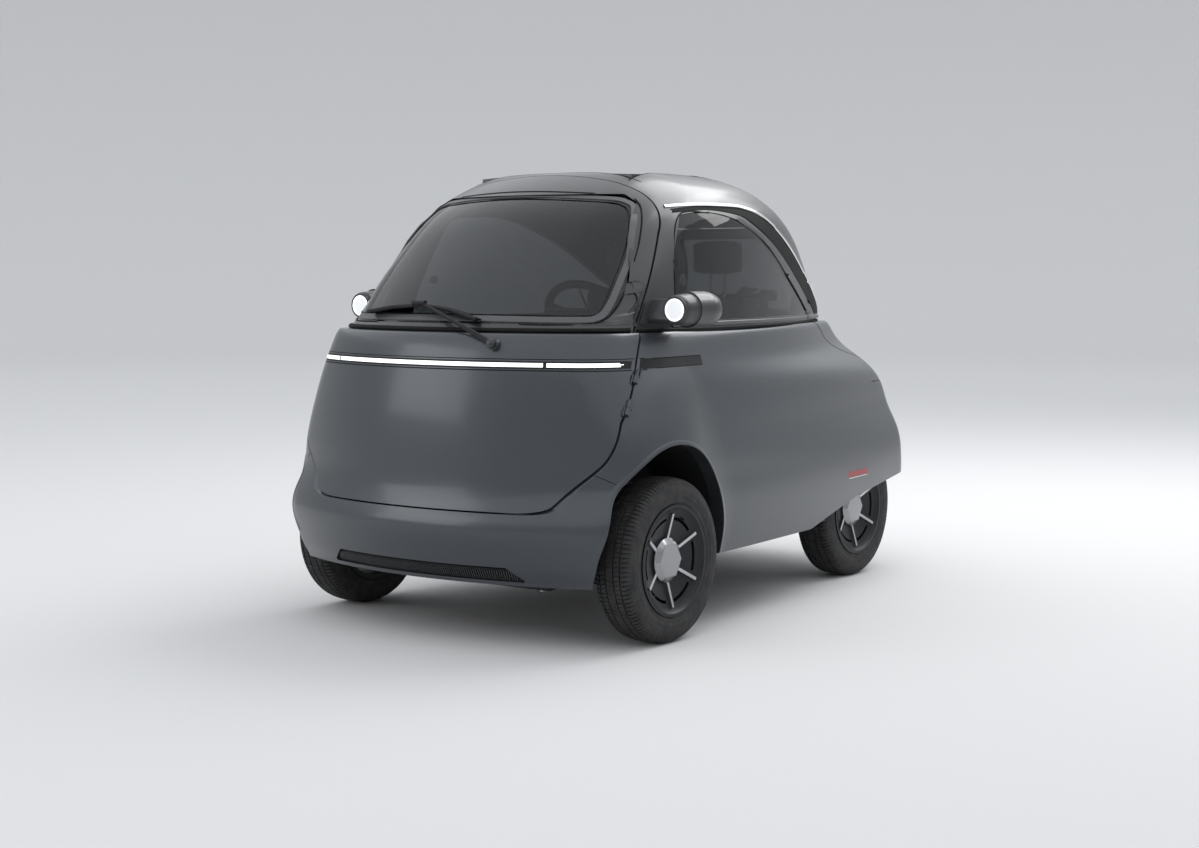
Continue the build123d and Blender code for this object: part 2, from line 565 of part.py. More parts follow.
subframe = box(-316, 316, FRONT_AXLE_Y - 150, FRONT_AXLE_Y - 110, 148, 196)
subframe += box(-316, 316, FRONT_AXLE_Y + 110, FRONT_AXLE_Y + 150, 148, 196)
for x in (-300, 256):
    subframe += box(x, x + 44, FRONT_AXLE_Y - 150, FRONT_AXLE_Y + 150, 148, 196)
    for y in (FRONT_AXLE_Y - 130, FRONT_AXLE_Y + 130):
        subframe += cyl_z(x + 22, y, 190, FLOOR[0] - 0.2, 20)
rack = cyl_x(-300, 300, FRONT_AXLE_Y + 92, 216, 16)
rack += box(-180, -140, FRONT_AXLE_Y + 80, FRONT_AXLE_Y + 120, 196.3, 226) + box(140, 180, FRONT_AXLE_Y + 80, FRONT_AXLE_Y + 120, 196.3, 226)

# ---------------------------------------------------------- rear axle
REAR_HUB_X = REAR_WHEEL_X - 50
rear_axle = cyl_x(-REAR_HUB_X, REAR_HUB_X, REAR_AXLE_Y, AXLE_Z, 30)
for s in (1, -1):
    x = s * (REAR_WELL_X - 62)
    rear_axle += cyl_x(*sorted((s * REAR_HUB_X, s * (REAR_WHEEL_X - 8))), REAR_AXLE_Y, AXLE_Z, 46)
    rear_axle += cyl_x(*sorted((s * REAR_HUB_X, s * (REAR_WHEEL_X + HUB_FACE - 2))), REAR_AXLE_Y, AXLE_Z, SPINDLE_R - 0.4)
    rear_axle += rod((x, REAR_AXLE_Y, AXLE_Z), (x, 472, 300), 19)
    rear_axle += cyl_x(x - 26, x + 26, 472, 300, 24)
    rear_axle += box(x - 20, x + 20, 440.3, 468, 284, 316)
rear_dampers = []
for s in (1, -1):
    x = s * (REAR_WELL_X - 62)
    d = cyl_z(x, REAR_AXLE_Y, AXLE_Z + 30.3, 330, 30) + cyl_z(x, REAR_AXLE_Y, 325, BOOT[0] - 0.3, 17)
    d += cyl_z(x, REAR_AXLE_Y, 414, BOOT[0] - 0.3, 44)
    d -= cyl_x(x - 60, x + 60, REAR_AXLE_Y, AXLE_Z, 30.3)
    rear_dampers.append(d)
motor = cyl_x(-140, 110, REAR_AXLE_Y - 20, AXLE_Z - 10, 92) - cyl_x(-200, 200, REAR_AXLE_Y, AXLE_Z, 30.3)
motor += cyl_x(110, 190, REAR_AXLE_Y - 10, AXLE_Z - 6, 104) - cyl_x(-200, 200, REAR_AXLE_Y, AXLE_Z, 30.3)

# ---------------------------------------------------------- cabin
SEAT_TOP = 1085.0       # top of the backrest
HEAD_X = 198.0
battery = box(-330, 330, -240, 180, FLOOR[1] + 0.3, 400)
seat_base = box(-470, 470, -290, 230, FLOOR[1] + 0.3, 420) - box(-440, 440, -268, 200, 0, 404)
seat_base = seat_base & low_core_b
cushion = box(-445, 445, -330, 190, 420.3, 540)
cushion = fillet(cushion.edges().filter_by(Axis.Y), 32)
backrest = side_cut([(110, 545), (205, 545), (285, SEAT_TOP), (200, SEAT_TOP)], [20, 20, 30, 30], -385, 385)
seat_frame = side_cut([(205.8, 420.3), (226, 420.3), (226, 545), (306, SEAT_TOP), (285.8, SEAT_TOP), (205.8, 545)], [0] * 6, -378, 378)
headrests = []
for x in (-HEAD_X, HEAD_X):
    h = box(x - 105, x + 105, 198, 272, 1155, 1283)
    h = fillet(h.edges().filter_by(Axis.Y), 40)
    for dx in (-31, 31):
        h += cyl_z(x + dx, 236, SEAT_TOP + 0.3, 1170, 7)
    headrests.append(h)

# Steering: a post stands on the floor and carries the inclined upper column.
WHEEL_MID = (STEER_X, -590.0, 990.0)
COLUMN_TILT = 35.0      # upper column above the horizontal
cdir = Vector(0, cos(radians(COLUMN_TILT)), sin(radians(COLUMN_TILT)))
rise = Vector(0, -sin(radians(COLUMN_TILT)), cos(radians(COLUMN_TILT)))


def on_column(t, up=0.0):
    """Point t below the wheel's centre along the column, up mm above its line."""
    v = Vector(*WHEEL_MID) - cdir * t + rise * up
    return (v.X, v.Y, v.Z)


column = rod(on_column(205), on_column(42), 25)
column += rod((STEER_X, -752, FLOOR[1] + 10), (STEER_X, -752, 880), 26)
column += box(STEER_X - 60, STEER_X + 60, -812, -680, FLOOR[1] + 0.3, FLOOR[1] + 36)
column += rod(on_column(60), on_column(9), 8.6)
DISPLAY = Plane(origin=on_column(96, 92), x_dir=(1, 0, 0), z_dir=tuple(cdir))
column += DISPLAY * Box(176, 84, 16)
column += rod(on_column(104, 10), on_column(104, 80), 12)


def steering_wheel_solid():
    """Rim, three spokes and boss about local Z."""
    w = revolve(Pos(172, 0, 0) * make_face(Wire([Edge.make_circle(14)])).rotate(Axis.X, 90), Axis.Z)
    w += Cylinder(42, 26)
    for a in (90, 210, 330):
        w += Rot(0, 0, a - 90) * box(-13, 13, 36, 166, -6, 6)
    w -= Cylinder(9.0, 80)
    w += Pos(0, 0, 14) * Cylinder(40, 6)
    return w


steering_wheel = Plane(origin=on_column(8), x_dir=(1, 0, 0), z_dir=tuple(cdir)) * steering_wheel_solid()
pedals = []
for x in (STEER_X - 60, STEER_X + 70):
    p = box(x - 30, x + 30, -905, -893, 400, 470)
    p += rod((x, -899, 430), (x, -935, 290), 7)
    p += box(x - 25, x + 25, -960, -915, FLOOR[1] + 0.3, 300)
    pedals.append(p)

# ---------------------------------------------------------- on the door
dash = cyl_x(-700, 700, -900, 930, 34) + box(-700, 700, -1100, -900, 946, 962)
dash = dash & (low_core & box(-900, 900, -1500, -840, 700, 974))
LIGHT_Z = (869.0, 892.0)



def inlay(zone, room, recess=None):
    """A piece set flush into the skin within zone, and the slot that takes it."""
    return (zone & low_out) - low_9, room - low_9e


light_bar, light_slot = inlay(box(-900, 900, -1400, -600, *LIGHT_Z) & door_cut(GAP + 9),
                              box(-900, 900, -1400, -600, LIGHT_Z[0] - 0.3, LIGHT_Z[1] + 0.3) & door_cut(GAP + 8.7))
front_door -= light_slot
side_strip, strip_slot = inlay(box(300, 900, -1400, -512, 866, 897) - door_cut(-8.0),
                               box(300, 900, -1400, -511.7, 865.7, 897.3) - door_cut(-7.7))
body_left -= strip_slot
body_right -= mirror(strip_slot, about=Plane.YZ)

# wiper: pivot on the shoulder, a cranked arm and a bowed blade just off the glass
wiper = rod((260, -1100, 934), (260, -1158, 946), 13)
ARM = [(260, -1150, 946), (150, -1142, 992), (-85, -1086, 1068)]
BLADE = [(-358, -1040, 1035), (-225, -1064, 1052), (-90, -1081, 1060), (40, -1090, 1046), (158, -1098, 1016)]
for a, b in zip(ARM, ARM[1:]):
    wiper += rod(a, b, 6)
for a, b in zip(BLADE, BLADE[1:]):
    wiper += rod(a, b, 7)
wiper += [Pos(*p) * Sphere(6) for p in ARM[1:2]] + [Pos(*p) * Sphere(7) for p in BLADE[1:-1]]
wiper -= low_out
wiper -= top_out

# ---------------------------------------------------------- outside fittings
GRILLE_DEPTH = (15.0, 27.0)             # face and back of the grille below the skin
grille_face, grille_back, grille_seat = low_solid(GRILLE_DEPTH[0]), low_solid(GRILLE_DEPTH[1]), low_solid(GRILLE_DEPTH[1] + 0.3)


def grille_zone(d):
    return front_cut([(-408 - d, 213 - d), (408 + d, 213 - d), (350 + d, 258 + d), (-350 - d, 258 + d)], [5, 5, 9, 9], -1500.0, -1000.0)


grille = (grille_zone(0.0) & grille_face) - grille_back
front_bumper -= grille_zone(0.3) - grille_seat

# number-plate holder: a flat plate standing on the curved tail, two M6 holes
PLATE_Y = 1259.3
PLATE_SCREW_X = 145.0
plate_holder = box(-262, 262, 1150, PLATE_Y, 404, 524)
plate_holder = fillet(plate_holder.edges().filter_by(Axis.Y), 10) - low_solid(-0.3)
for x in (-PLATE_SCREW_X, PLATE_SCREW_X):
    plate_holder -= cyl_y(PLATE_Y - 14, PLATE_Y + 5, x, 464, 3.3)

# Lamp pods: a barrel along Y with the lamp in front and the mirror behind,
# held by a fairing at the foot of the windscreen pillar.
POD_X, POD_Z = 672.0, 1047.0
POD_FRONT, POD_BACK = -746.0, -548.0
LENS_R, MIRROR_R = 36.0, 46.0
with BuildSketch(Plane.XY) as sk:
    with BuildLine():
        Polyline((0, POD_FRONT), (LENS_R + 6, POD_FRONT), (LENS_R + 11, POD_FRONT + 8), (52, -680), (54, -676), (58, -676), (58, -612))
        ThreePointArc((58, -612), (56.5, -576), (MIRROR_R + 4, POD_BACK))
        Polyline((MIRROR_R + 4, POD_BACK), (0, POD_BACK), (0, POD_FRONT))
    make_face()
pod = Pos(POD_X, 0, POD_Z) * revolve(sk.sketch, Axis.Y)
pod += side_cut([(-758, 1002), (-636, 996), (-636, 1064), (-706, 1084), (-742, 1040)], [16, 26, 26, 20, 10], 540, POD_X)
pod -= top_out
pod -= cyl_y(POD_FRONT - 10, POD_FRONT + 16, POD_X, POD_Z, LENS_R + 0.3)
lens = cyl_y(POD_FRONT - 2, POD_FRONT + 15.7, POD_X, POD_Z, LENS_R)
mirror_glass = cyl_y(POD_BACK - 5, POD_BACK + 0.2, POD_X, POD_Z, MIRROR_R - 0.3)
pod -= cyl_y(POD_BACK - 5.3, POD_BACK + 10, POD_X, POD_Z, MIRROR_R)

refl, refl_slot = inlay(box(300, 800, 528, 716, 402, 424), box(300, 800, 527.7, 716.3, 401.7, 424.3))
body_left -= refl_slot
body_right -= mirror(refl_slot, about=Plane.YZ)

tail_zone_l = box(-330, 330, 900, 1400, 772, 796)
rear_bar, rear_slot = inlay(tail_zone_l, box(-330.3, 330.3, 900, 1400, 771.7, 796.3))
rear_hatch -= rear_slot

# hatch hinges: knuckles on the hatch turn on pins held by the roof
for x in (-140.0, 140.0):
    kb = cyl_x(x - 26, x - 1, HATCH_HINGE[1], HATCH_HINGE[2], 8)
    kp = cyl_x(x - 26, x + 24, HATCH_HINGE[1], HATCH_HINGE[2], 4)
    kh = cyl_x(x + 0.5, x + 25, HATCH_HINGE[1], HATCH_HINGE[2], 8) - cyl_x(x - 30, x + 30, HATCH_HINGE[1], HATCH_HINGE[2], 4.6)
    roof_panel = roof_panel - cyl_x(x - 6, x + 32, HATCH_HINGE[1], HATCH_HINGE[2], 14)
    rear_hatch = rear_hatch - cyl_x(x - 32, x + 0.2, HATCH_HINGE[1], HATCH_HINGE[2], 14)
    roof_panel += kb + kp + box(x - 26, x - 1, HATCH_HINGE[1] - 40, HATCH_HINGE[1], HATCH_HINGE[2] + 1, HATCH_HINGE[2] + 8)
    rear_hatch += kh + box(x + 0.5, x + 25, HATCH_HINGE[1] - 18, HATCH_HINGE[1] - 5, HATCH_HINGE[2] - 30, HATCH_HINGE[2])

export("body_left", body_left)
export("body_right", body_right)
export("front_bumper", front_bumper)
export("rear_bumper", rear_bumper)
export("front_door", front_door)
export("windscreen", windscreen)
export("roof_panel", roof_panel)
export("sunroof", sunroof)
export("window_frames", window_frames)
export("side_windows", side_windows)
export("rear_hatch", rear_hatch)
export("rear_window", rear_window)
export("floor_pan", floor_pan)
export("wheel_liners", liner_zone, 0.02)
export("front_grille", grille)
for k in WHEELS:
    export(f"tyre_{k}", place_wheel(tyre, k))
    export(f"rim_{k}", place_wheel(rim, k))
    export(f"hub_cap_{k}", place_wheel(cap, k))
kn = knuckle()
export("knuckle_left", kn)
export("knuckle_right", mirror(kn, about=Plane.YZ))
export("front_wishbones", both(front_arm()) + both(front_upper_arm()))
export("front_struts", both(front_strut()))
export("front_subframe", subframe)
export("steering_rack", rack)
export("rear_axle", rear_axle)
export("rear_dampers", rear_dampers)
export("drive_motor", motor)
export("battery_pack", battery)
export("seat_base", seat_base)
export("seat_cushion", cushion)
export("seat_backrest", backrest)
export("seat_frame", seat_frame)
export("headrests", headrests)
export("steering_column", column)
export("steering_wheel", steering_wheel)
export("pedals", pedals)
export("dash_beam", dash)
export("front_light_bar", light_bar)
export("side_strips", both(side_strip))
export("wiper", wiper)
export("lamp_pods", both(pod))
export("headlamps", both(lens))
export("mirror_glasses", both(mirror_glass))
export("rear_reflectors", both(refl))
export("rear_light_bar", rear_bar)
export("plate_holder", plate_holder)
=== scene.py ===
"""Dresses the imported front-door microcar: paint, glass, lamps, tyres, cabin and studio.

Everything is in metres in the CAD frame: +Z up, nose towards -Y, car's left +X.
"""
import json
import logging
from contextlib import contextmanager
from dataclasses import dataclass, field
from enum import Enum
from math import cos, pi, radians, sin
from typing import Callable, Iterator, Sequence

import bmesh
import bpy
from mathutils import Matrix, Vector
from mathutils.bvhtree import BVHTree

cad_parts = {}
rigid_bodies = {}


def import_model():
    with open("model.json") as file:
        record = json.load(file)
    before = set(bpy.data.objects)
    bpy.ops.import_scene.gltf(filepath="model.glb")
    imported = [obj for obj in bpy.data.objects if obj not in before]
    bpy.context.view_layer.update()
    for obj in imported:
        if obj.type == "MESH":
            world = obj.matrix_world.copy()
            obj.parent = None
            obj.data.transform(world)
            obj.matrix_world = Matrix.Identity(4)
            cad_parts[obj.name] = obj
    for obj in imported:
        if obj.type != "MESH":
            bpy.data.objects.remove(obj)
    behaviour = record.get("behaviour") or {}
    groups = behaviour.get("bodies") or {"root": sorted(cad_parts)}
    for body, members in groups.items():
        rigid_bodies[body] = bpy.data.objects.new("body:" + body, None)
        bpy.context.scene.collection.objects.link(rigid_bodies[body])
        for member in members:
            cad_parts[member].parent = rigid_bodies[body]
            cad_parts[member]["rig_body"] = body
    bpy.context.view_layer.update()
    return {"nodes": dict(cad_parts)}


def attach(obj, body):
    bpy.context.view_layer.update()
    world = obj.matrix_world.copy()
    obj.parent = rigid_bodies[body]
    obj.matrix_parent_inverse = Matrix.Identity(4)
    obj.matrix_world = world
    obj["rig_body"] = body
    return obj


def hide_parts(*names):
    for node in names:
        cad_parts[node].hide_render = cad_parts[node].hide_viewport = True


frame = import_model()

log = logging.getLogger("microcar")

Colour = tuple[float, float, float]
Point = tuple[float, float, float]
Socket = bpy.types.NodeSocket
Flat = tuple[float, float]
Laid = tuple[Vector, Vector]

LEFT_AND_RIGHT = (1, -1)
NOISE_RANGE = (0.3, 0.7)
SAME_POINT = 1e-6
CAD_MERGE = 3e-5
SEAM_DEPTH = 0.012


# ------------------------------------------------------------------ shading
class Shader:
    """Builds one material's node tree in a few plain steps."""

    def __init__(self, name: str) -> None:
        """Start an empty material.

        Args:
            name: the material's name.
        """
        self.material = bpy.data.materials.new(name)
        self.material.use_nodes = True
        self.tree = self.material.node_tree
        self.tree.nodes.clear()
        self.out = self.node("ShaderNodeOutputMaterial")
        self.bsdf = self.node("ShaderNodeBsdfPrincipled")
        self.join(self.bsdf.outputs["BSDF"], self.out.inputs["Surface"])

    def node(self, kind: str, **props: object) -> bpy.types.Node:
        """Add a node and set its plain properties.

        Args:
            kind: the node's bl_idname.
            props: properties to set on it.

        Returns:
            The new node.
        """
        made = self.tree.nodes.new(kind)
        for key, value in props.items():
            setattr(made, key, value)
        return made

    def join(self, a: Socket, b: Socket) -> None:
        """Link output a to input b."""
        self.tree.links.new(a, b)

    def feed(self, target: Socket, value: "Socket | float | Sequence[float]") -> None:
        """Link or set an input.

        Args:
            target: the input socket.
            value: an output socket, a number or a colour.
        """
        if isinstance(value, bpy.types.NodeSocket):
            self.join(value, target)
        elif isinstance(value, (int, float)):
            target.default_value = value
        else:
            v = tuple(value)
            target.default_value = v if len(v) == len(target.default_value) else (*v, 1.0)

    def put(self, **values: "Socket | float | Sequence[float]") -> "Shader":
        """Set inputs of the Principled shader; underscores stand for spaces."""
        for key, value in values.items():
            self.feed(self.bsdf.inputs[key.replace("_", " ")], value)
        return self

    def place(self, scale: Point = (1, 1, 1)) -> Socket:
        """Object coordinates stretched by scale."""
        coord = self.node("ShaderNodeTexCoord")
        mapping = self.node("ShaderNodeMapping")
        mapping.inputs["Scale"].default_value = scale
        self.join(coord.outputs["Object"], mapping.inputs["Vector"])
        return mapping.outputs["Vector"]

    def height(self) -> Socket:
        """Height above the ground."""
        split = self.node("ShaderNodeSeparateXYZ")
        self.join(self.place(), split.inputs[0])
        return split.outputs["Z"]

    def texture(self, kind: str, scale: float, stretch: Point = (1, 1, 1),
            **props: object) -> bpy.types.Node:
        """A texture node on object coordinates.

        Args:
            kind: the node's bl_idname.
            scale: the pattern's scale per metre.
            stretch: a stretch of the coordinates.
            props: properties to set on it.

        Returns:
            The node.
        """
        tex = self.node(kind, **props)
        tex.inputs["Scale"].default_value = scale
        self.join(self.place(stretch), tex.inputs["Vector"])
        return tex

    def noise(self, scale: float, detail: float, stretch: Point = (1, 1, 1)) -> Socket:
        """Noise factor at a scale given per metre."""
        tex = self.texture("ShaderNodeTexNoise", scale, stretch)
        tex.inputs["Detail"].default_value = detail
        return tex.outputs["Fac"]

    def voronoi(self, scale: float) -> Socket:
        """Voronoi distance at a scale given per metre."""
        return self.texture("ShaderNodeTexVoronoi", scale).outputs["Distance"]

    def wave(self, scale: float, axis: str, distortion: float = 0.0) -> Socket:
        """Parallel bands across an axis."""
        tex = self.texture("ShaderNodeTexWave", scale, bands_direction=axis)
        tex.inputs["Distortion"].default_value = distortion
        return tex.outputs["Fac"]

    def math(self, kind: str, a: "Socket | float", b: "Socket | float") -> Socket:
        """The result of one Math node of a kind on two values."""
        made = self.node("ShaderNodeMath", operation=kind)
        self.feed(made.inputs[0], a)
        self.feed(made.inputs[1], b)
        return made.outputs[0]

    def span(self, value: "Socket | float", low: float, high: float, a: float = 0.0,
            b: float = 1.0) -> Socket:
        """Map low..high to a..b, clamped."""
        made = self.node("ShaderNodeMapRange")
        self.feed(made.inputs["Value"], value)
        for key, number in zip(("From Min", "From Max", "To Min", "To Max"), (low, high, a, b)):
            made.inputs[key].default_value = number
        return made.outputs["Result"]

    def spread(self, noise: Socket, a: float = 0.0, b: float = 1.0) -> Socket:
        """Map the range that a noise mostly keeps to onto a..b."""
        return self.span(noise, *NOISE_RANGE, a, b)

    def mix(self, factor: "Socket | float", a: "Socket | Colour", b: "Socket | Colour") -> Socket:
        """Blend two colours."""
        made = self.node("ShaderNodeMix", data_type="RGBA")
        self.feed(made.inputs["Factor"], factor)
        self.feed(made.inputs[6], a)
        self.feed(made.inputs[7], b)
        return made.outputs[2]

    def bump(self, height: Socket, depth: float, strength: float) -> Socket:
        """Normal from a height, depth in metres."""
        made = self.node("ShaderNodeBump")
        made.inputs["Strength"].default_value = strength
        made.inputs["Distance"].default_value = depth
        self.join(height, made.inputs["Height"])
        return made.outputs["Normal"]


class Finish:
    """A surface finish that makes its material once."""

    def material(self) -> bpy.types.Material:
        """The finish's material, made on first use."""
        key = "mat_" + str(getattr(self, "name"))
        return bpy.data.materials.get(key) or self.build(Shader(key)).material

    def build(self, s: Shader) -> Shader:
        """Fill in the shader.

        Args:
            s: the empty shader.

        Returns:
            The same shader, wired.
        """
        raise NotImplementedError


@dataclass(frozen=True)
class Paint(Finish):
    """Metallic car paint under satin lacquer, painted darker and greyer above the belt as shade for the dark
    reflection there.
    """

    name: str
    base: Colour
    upper: Colour
    belt: float = 0.985
    blend: float = 0.004
    metallic: float = 0.55
    rough: float = 0.36
    coat: float = 0.55

    def build(self, s: Shader) -> Shader:
        """Flakes, a slow drift of tone and the painted shade above the belt."""
        flake = s.noise(5200.0, 1.0)
        drift = s.noise(2.2, 2.0)
        # painted shade: above the belt the same paint turns darker and greyer, standing for the dark
        # reflection there
        above = s.span(s.height(), self.belt - self.blend, self.belt + self.blend)
        tone = s.mix(above, self.base, self.upper)
        light = s.mix(s.span(flake, 0.35, 0.75, 0.0, 0.16), tone, tuple(c * 2.2 + 0.02 for c in self.base))
        shade = s.mix(s.spread(drift, 0.0, 0.05), light, tuple(c * 0.7 for c in self.base))
        s.put(Base_Color=shade, Metallic=self.metallic, Coat_Weight=self.coat, Coat_Roughness=0.16)
        s.put(Roughness=s.spread(s.noise(900.0, 2.0), self.rough - 0.04, self.rough + 0.04))
        s.put(Normal=s.bump(s.noise(420.0, 1.0), 0.00002, 0.35))
        return s


@dataclass(frozen=True)
class Plastic(Finish):
    """Moulded plastic with a fine grain."""

    name: str
    base: Colour
    rough: float = 0.5
    grain: float = 1400.0
    depth: float = 0.00008
    coat: float = 0.0
    shine: float = 0.3

    def build(self, s: Shader) -> Shader:
        """Grain in the normal and a little in the gloss."""
        grain = s.noise(self.grain, 2.0)
        tone = s.mix(s.spread(s.noise(6.0, 3.0)), self.base, tuple(c * 1.25 + 0.002 for c in self.base))
        s.put(Base_Color=tone, Roughness=s.spread(grain, self.rough - 0.06, self.rough + 0.08),
            Specular_IOR_Level=self.shine)
        s.put(Coat_Weight=self.coat, Normal=s.bump(s.voronoi(self.grain), self.depth, 0.6))
        return s


@dataclass(frozen=True)
class Metal(Finish):
    """Bare or coated metal."""

    name: str
    base: Colour
    rough: float = 0.3
    brushed: bool = False
    metallic: float = 1.0

    def build(self, s: Shader) -> Shader:
        """Brushed metal has streaks; cast metal has a soft grain."""
        stretch = (1.0, 1.0, 60.0) if self.brushed else (1.0, 1.0, 1.0)
        streak = s.noise(260.0 if self.brushed else 700.0, 3.0, stretch)
        tone = s.mix(s.spread(streak), self.base, tuple(c * 0.82 for c in self.base))
        s.put(Base_Color=tone, Metallic=self.metallic)
        s.put(Roughness=s.spread(streak, self.rough - 0.06, self.rough + 0.08))
        s.put(Normal=s.bump(streak, 0.00004, 0.5))
        return s


@dataclass(frozen=True)
class TyreRubber(Finish):
    """Tyre rubber with a little dust in its bloom."""

    name: str = "tyre_rubber"
    base: Colour = (0.020, 0.020, 0.021)
    dust: Colour = (0.042, 0.041, 0.040)

    def build(self, s: Shader) -> Shader:
        """Mottled grey-black with a matt bloom."""
        bloom = s.noise(35.0, 4.0)
        tone = s.mix(s.span(bloom, 0.35, 0.75), self.base, self.dust)
        s.put(Base_Color=tone, Roughness=s.spread(s.noise(500.0, 2.0), 0.62, 0.8), Specular_IOR_Level=0.35)
        s.put(Normal=s.bump(s.noise(1600.0, 2.0), 0.0001, 0.5))
        return s


@dataclass(frozen=True)
class Glass(Finish):
    """Tinted car glass."""

    name: str
    tint: Colour
    index: float = 1.5

    def build(self, s: Shader) -> Shader:
        """Clear tint under a gloss that grows towards grazing angles, on outer faces only."""
        clear = s.node("ShaderNodeBsdfTransparent")
        clear.inputs[0].default_value = (*self.tint, 1.0)
        gloss = s.node("ShaderNodeBsdfGlossy")
        gloss.inputs["Roughness"].default_value = 0.03
        gloss.inputs["Color"].default_value = (1, 1, 1, 1)
        fresnel = s.node("ShaderNodeFresnel")
        fresnel.inputs["IOR"].default_value = self.index
        front = s.math("SUBTRACT", 1.0, s.node("ShaderNodeNewGeometry").outputs["Backfacing"])
        pane = s.node("ShaderNodeMixShader")
        s.join(s.math("MULTIPLY", fresnel.outputs[0], front), pane.inputs[0])
        s.join(clear.outputs[0], pane.inputs[1])
        s.join(gloss.outputs[0], pane.inputs[2])
        s.put(Base_Color=(0.012, 0.012, 0.013), Roughness=0.22, Coat_Weight=0.8, Coat_Roughness=0.05)
        s.join(pane.outputs[0], s.out.inputs["Surface"])
        return s


@dataclass(frozen=True)
class Lamp(Finish):
    """A lit or coloured lens."""

    name: str
    base: Colour
    glow: float

    def build(self, s: Shader) -> Shader:
        """Ribbed lens with an even glow."""
        s.put(Base_Color=self.base, Roughness=0.12, Coat_Weight=1.0, Coat_Roughness=0.03)
        s.put(Emission_Color=self.base, Emission_Strength=self.glow)
        s.put(Normal=s.bump(s.wave(240.0, "X"), 0.0002, 0.35))
        return s


@dataclass(frozen=True)
class Fabric(Finish):
    """Woven seat cloth."""

    name: str
    base: Colour
    thread: Colour
    weave: float = 620.0

    def build(self, s: Shader) -> Shader:
        """Two crossed thread directions and a soft sheen."""
        warp = s.wave(self.weave, "X", 0.6)
        weft = s.wave(self.weave, "Z", 0.6)
        cross = s.math("MULTIPLY", warp, weft)
        tone = s.mix(s.span(s.noise(180.0, 4.0), 0.3, 0.75), self.base, self.thread)
        s.put(Base_Color=tone, Roughness=0.86, Sheen_Weight=0.35, Sheen_Roughness=0.4)
        s.put(Normal=s.bump(cross, 0.0005, 0.7))
        return s


@dataclass(frozen=True)
class Mirror(Finish):
    """Silvered mirror glass."""

    name: str = "mirror_glass"

    def build(self, s: Shader) -> Shader:
        """Bright metal with a faint haze."""
        haze = s.spread(s.noise(40.0, 2.0), 0.02, 0.05)
        return s.put(Base_Color=(0.86, 0.88, 0.9), Metallic=1.0, Roughness=haze)


@dataclass(frozen=True)
class Paper(Finish):
    """Even studio paper."""

    name: str
    base: Colour

    def build(self, s: Shader) -> Shader:
        """One flat tone with a matt face."""
        return s.put(Base_Color=self.base, Roughness=0.9, Specular_IOR_Level=0.1)


# the second colour is the painted shade of the same paint above the belt
BODY_PAINT = Paint("body_paint", (0.050, 0.056, 0.064), (0.038, 0.039, 0.040))
BLACK_PLASTIC = Plastic("black_plastic", (0.012, 0.012, 0.013), 0.5, 1400.0, 0.00008, 0.0, 0.2)
DARK_TRIM = Plastic("dark_trim", (0.030, 0.031, 0.033), 0.34, 900.0, 0.00003, 0.3)
RUBBER_SEAL = Plastic("rubber_seal", (0.006, 0.006, 0.006), 0.62, 800.0, 0.00005, 0.0, 0.12)
CHASSIS_BLACK = Plastic("chassis_black", (0.018, 0.018, 0.019), 0.55, 500.0, 0.0001)
TRIM_GREY = Plastic("cabin_grey", (0.075, 0.078, 0.083), 0.6)
FLOOR_MAT = Plastic("floor_mat", (0.022, 0.022, 0.024), 0.85, 500.0, 0.0006)
FRAME_GREY = Metal("frame_grey", (0.115, 0.117, 0.121), 0.36, False, 0.45)
BRIGHT_TRIM = Metal("bright_trim", (0.82, 0.83, 0.85), 0.14)
SATIN_SILVER = Metal("satin_silver", (0.58, 0.59, 0.61), 0.26, True)
CAP_SILVER = Metal("cap_silver", (0.36, 0.365, 0.375), 0.24, True)
CAST_ALLOY = Metal("cast_alloy", (0.50, 0.51, 0.53), 0.42)
STEEL = Metal("steel", (0.42, 0.42, 0.44), 0.34, True)
WHEEL_DARK = Metal("wheel_dark", (0.024, 0.025, 0.027), 0.40, False, 0.6)
TYRE = TyreRubber()
# near-black floor of the tread grooves: painted shade between the blocks
TYRE_GROOVE_SHADE = TyreRubber("tyre_groove", (0.004, 0.004, 0.004), (0.008, 0.008, 0.008))
LAMP_WHITE = Lamp("lamp_white", (0.97, 0.985, 1.0), 1.5)
LAMP_LENS = Lamp("lamp_lens", (0.80, 0.82, 0.84), 0.42)
LAMP_RED = Lamp("lamp_red", (0.42, 0.012, 0.012), 0.06)
REFLEX_RED = Plastic("reflex_red", (0.24, 0.009, 0.011), 0.2, shine=0.35)
SCREEN_FACE = Lamp("display_face", (0.05, 0.09, 0.13), 0.25)
BELT_WEB = Fabric("belt_web", (0.020, 0.020, 0.022), (0.045, 0.045, 0.048), 900.0)
SEAT_CLOTH = Fabric("seat_cloth", (0.085, 0.089, 0.098), (0.165, 0.172, 0.185))
SEAT_EDGE = Fabric("seat_piping", (0.16, 0.165, 0.175), (0.22, 0.225, 0.235), 900.0)
HEADLINING = Fabric("headlining", (0.11, 0.11, 0.115), (0.15, 0.15, 0.155), 500.0)
MIRROR = Mirror()
SIDE_GLASS = Glass("side_glass", (0.47, 0.485, 0.495))
SCREEN_GLASS = Glass("screen_glass", (0.46, 0.475, 0.485))


# ------------------------------------------------------------------ meshes
class Body(str, Enum):
    """The CAD bodies a piece can ride on."""

    ROOT = "root"
    DOOR = "door"
    HATCH = "hatch"
    WHEEL = "steering_wheel"


def dress(obj: bpy.types.Object, finish: Finish) -> None:
    """Give an object one material."""
    obj.data.materials.clear()
    obj.data.materials.append(finish.material())


def new_object(name: str, mesh: bpy.types.Mesh) -> bpy.types.Object:
    """Link a mesh into the scene as a new object."""
    obj = bpy.data.objects.new(name, mesh)
    bpy.context.scene.collection.objects.link(obj)
    return obj


def bare_object(name: str, bm: bmesh.types.BMesh) -> bpy.types.Object:
    """Turn a bmesh, which is freed, into an object without a finish."""
    mesh = bpy.data.meshes.new(name)
    bm.to_mesh(mesh)
    bm.free()
    return new_object(name, mesh)


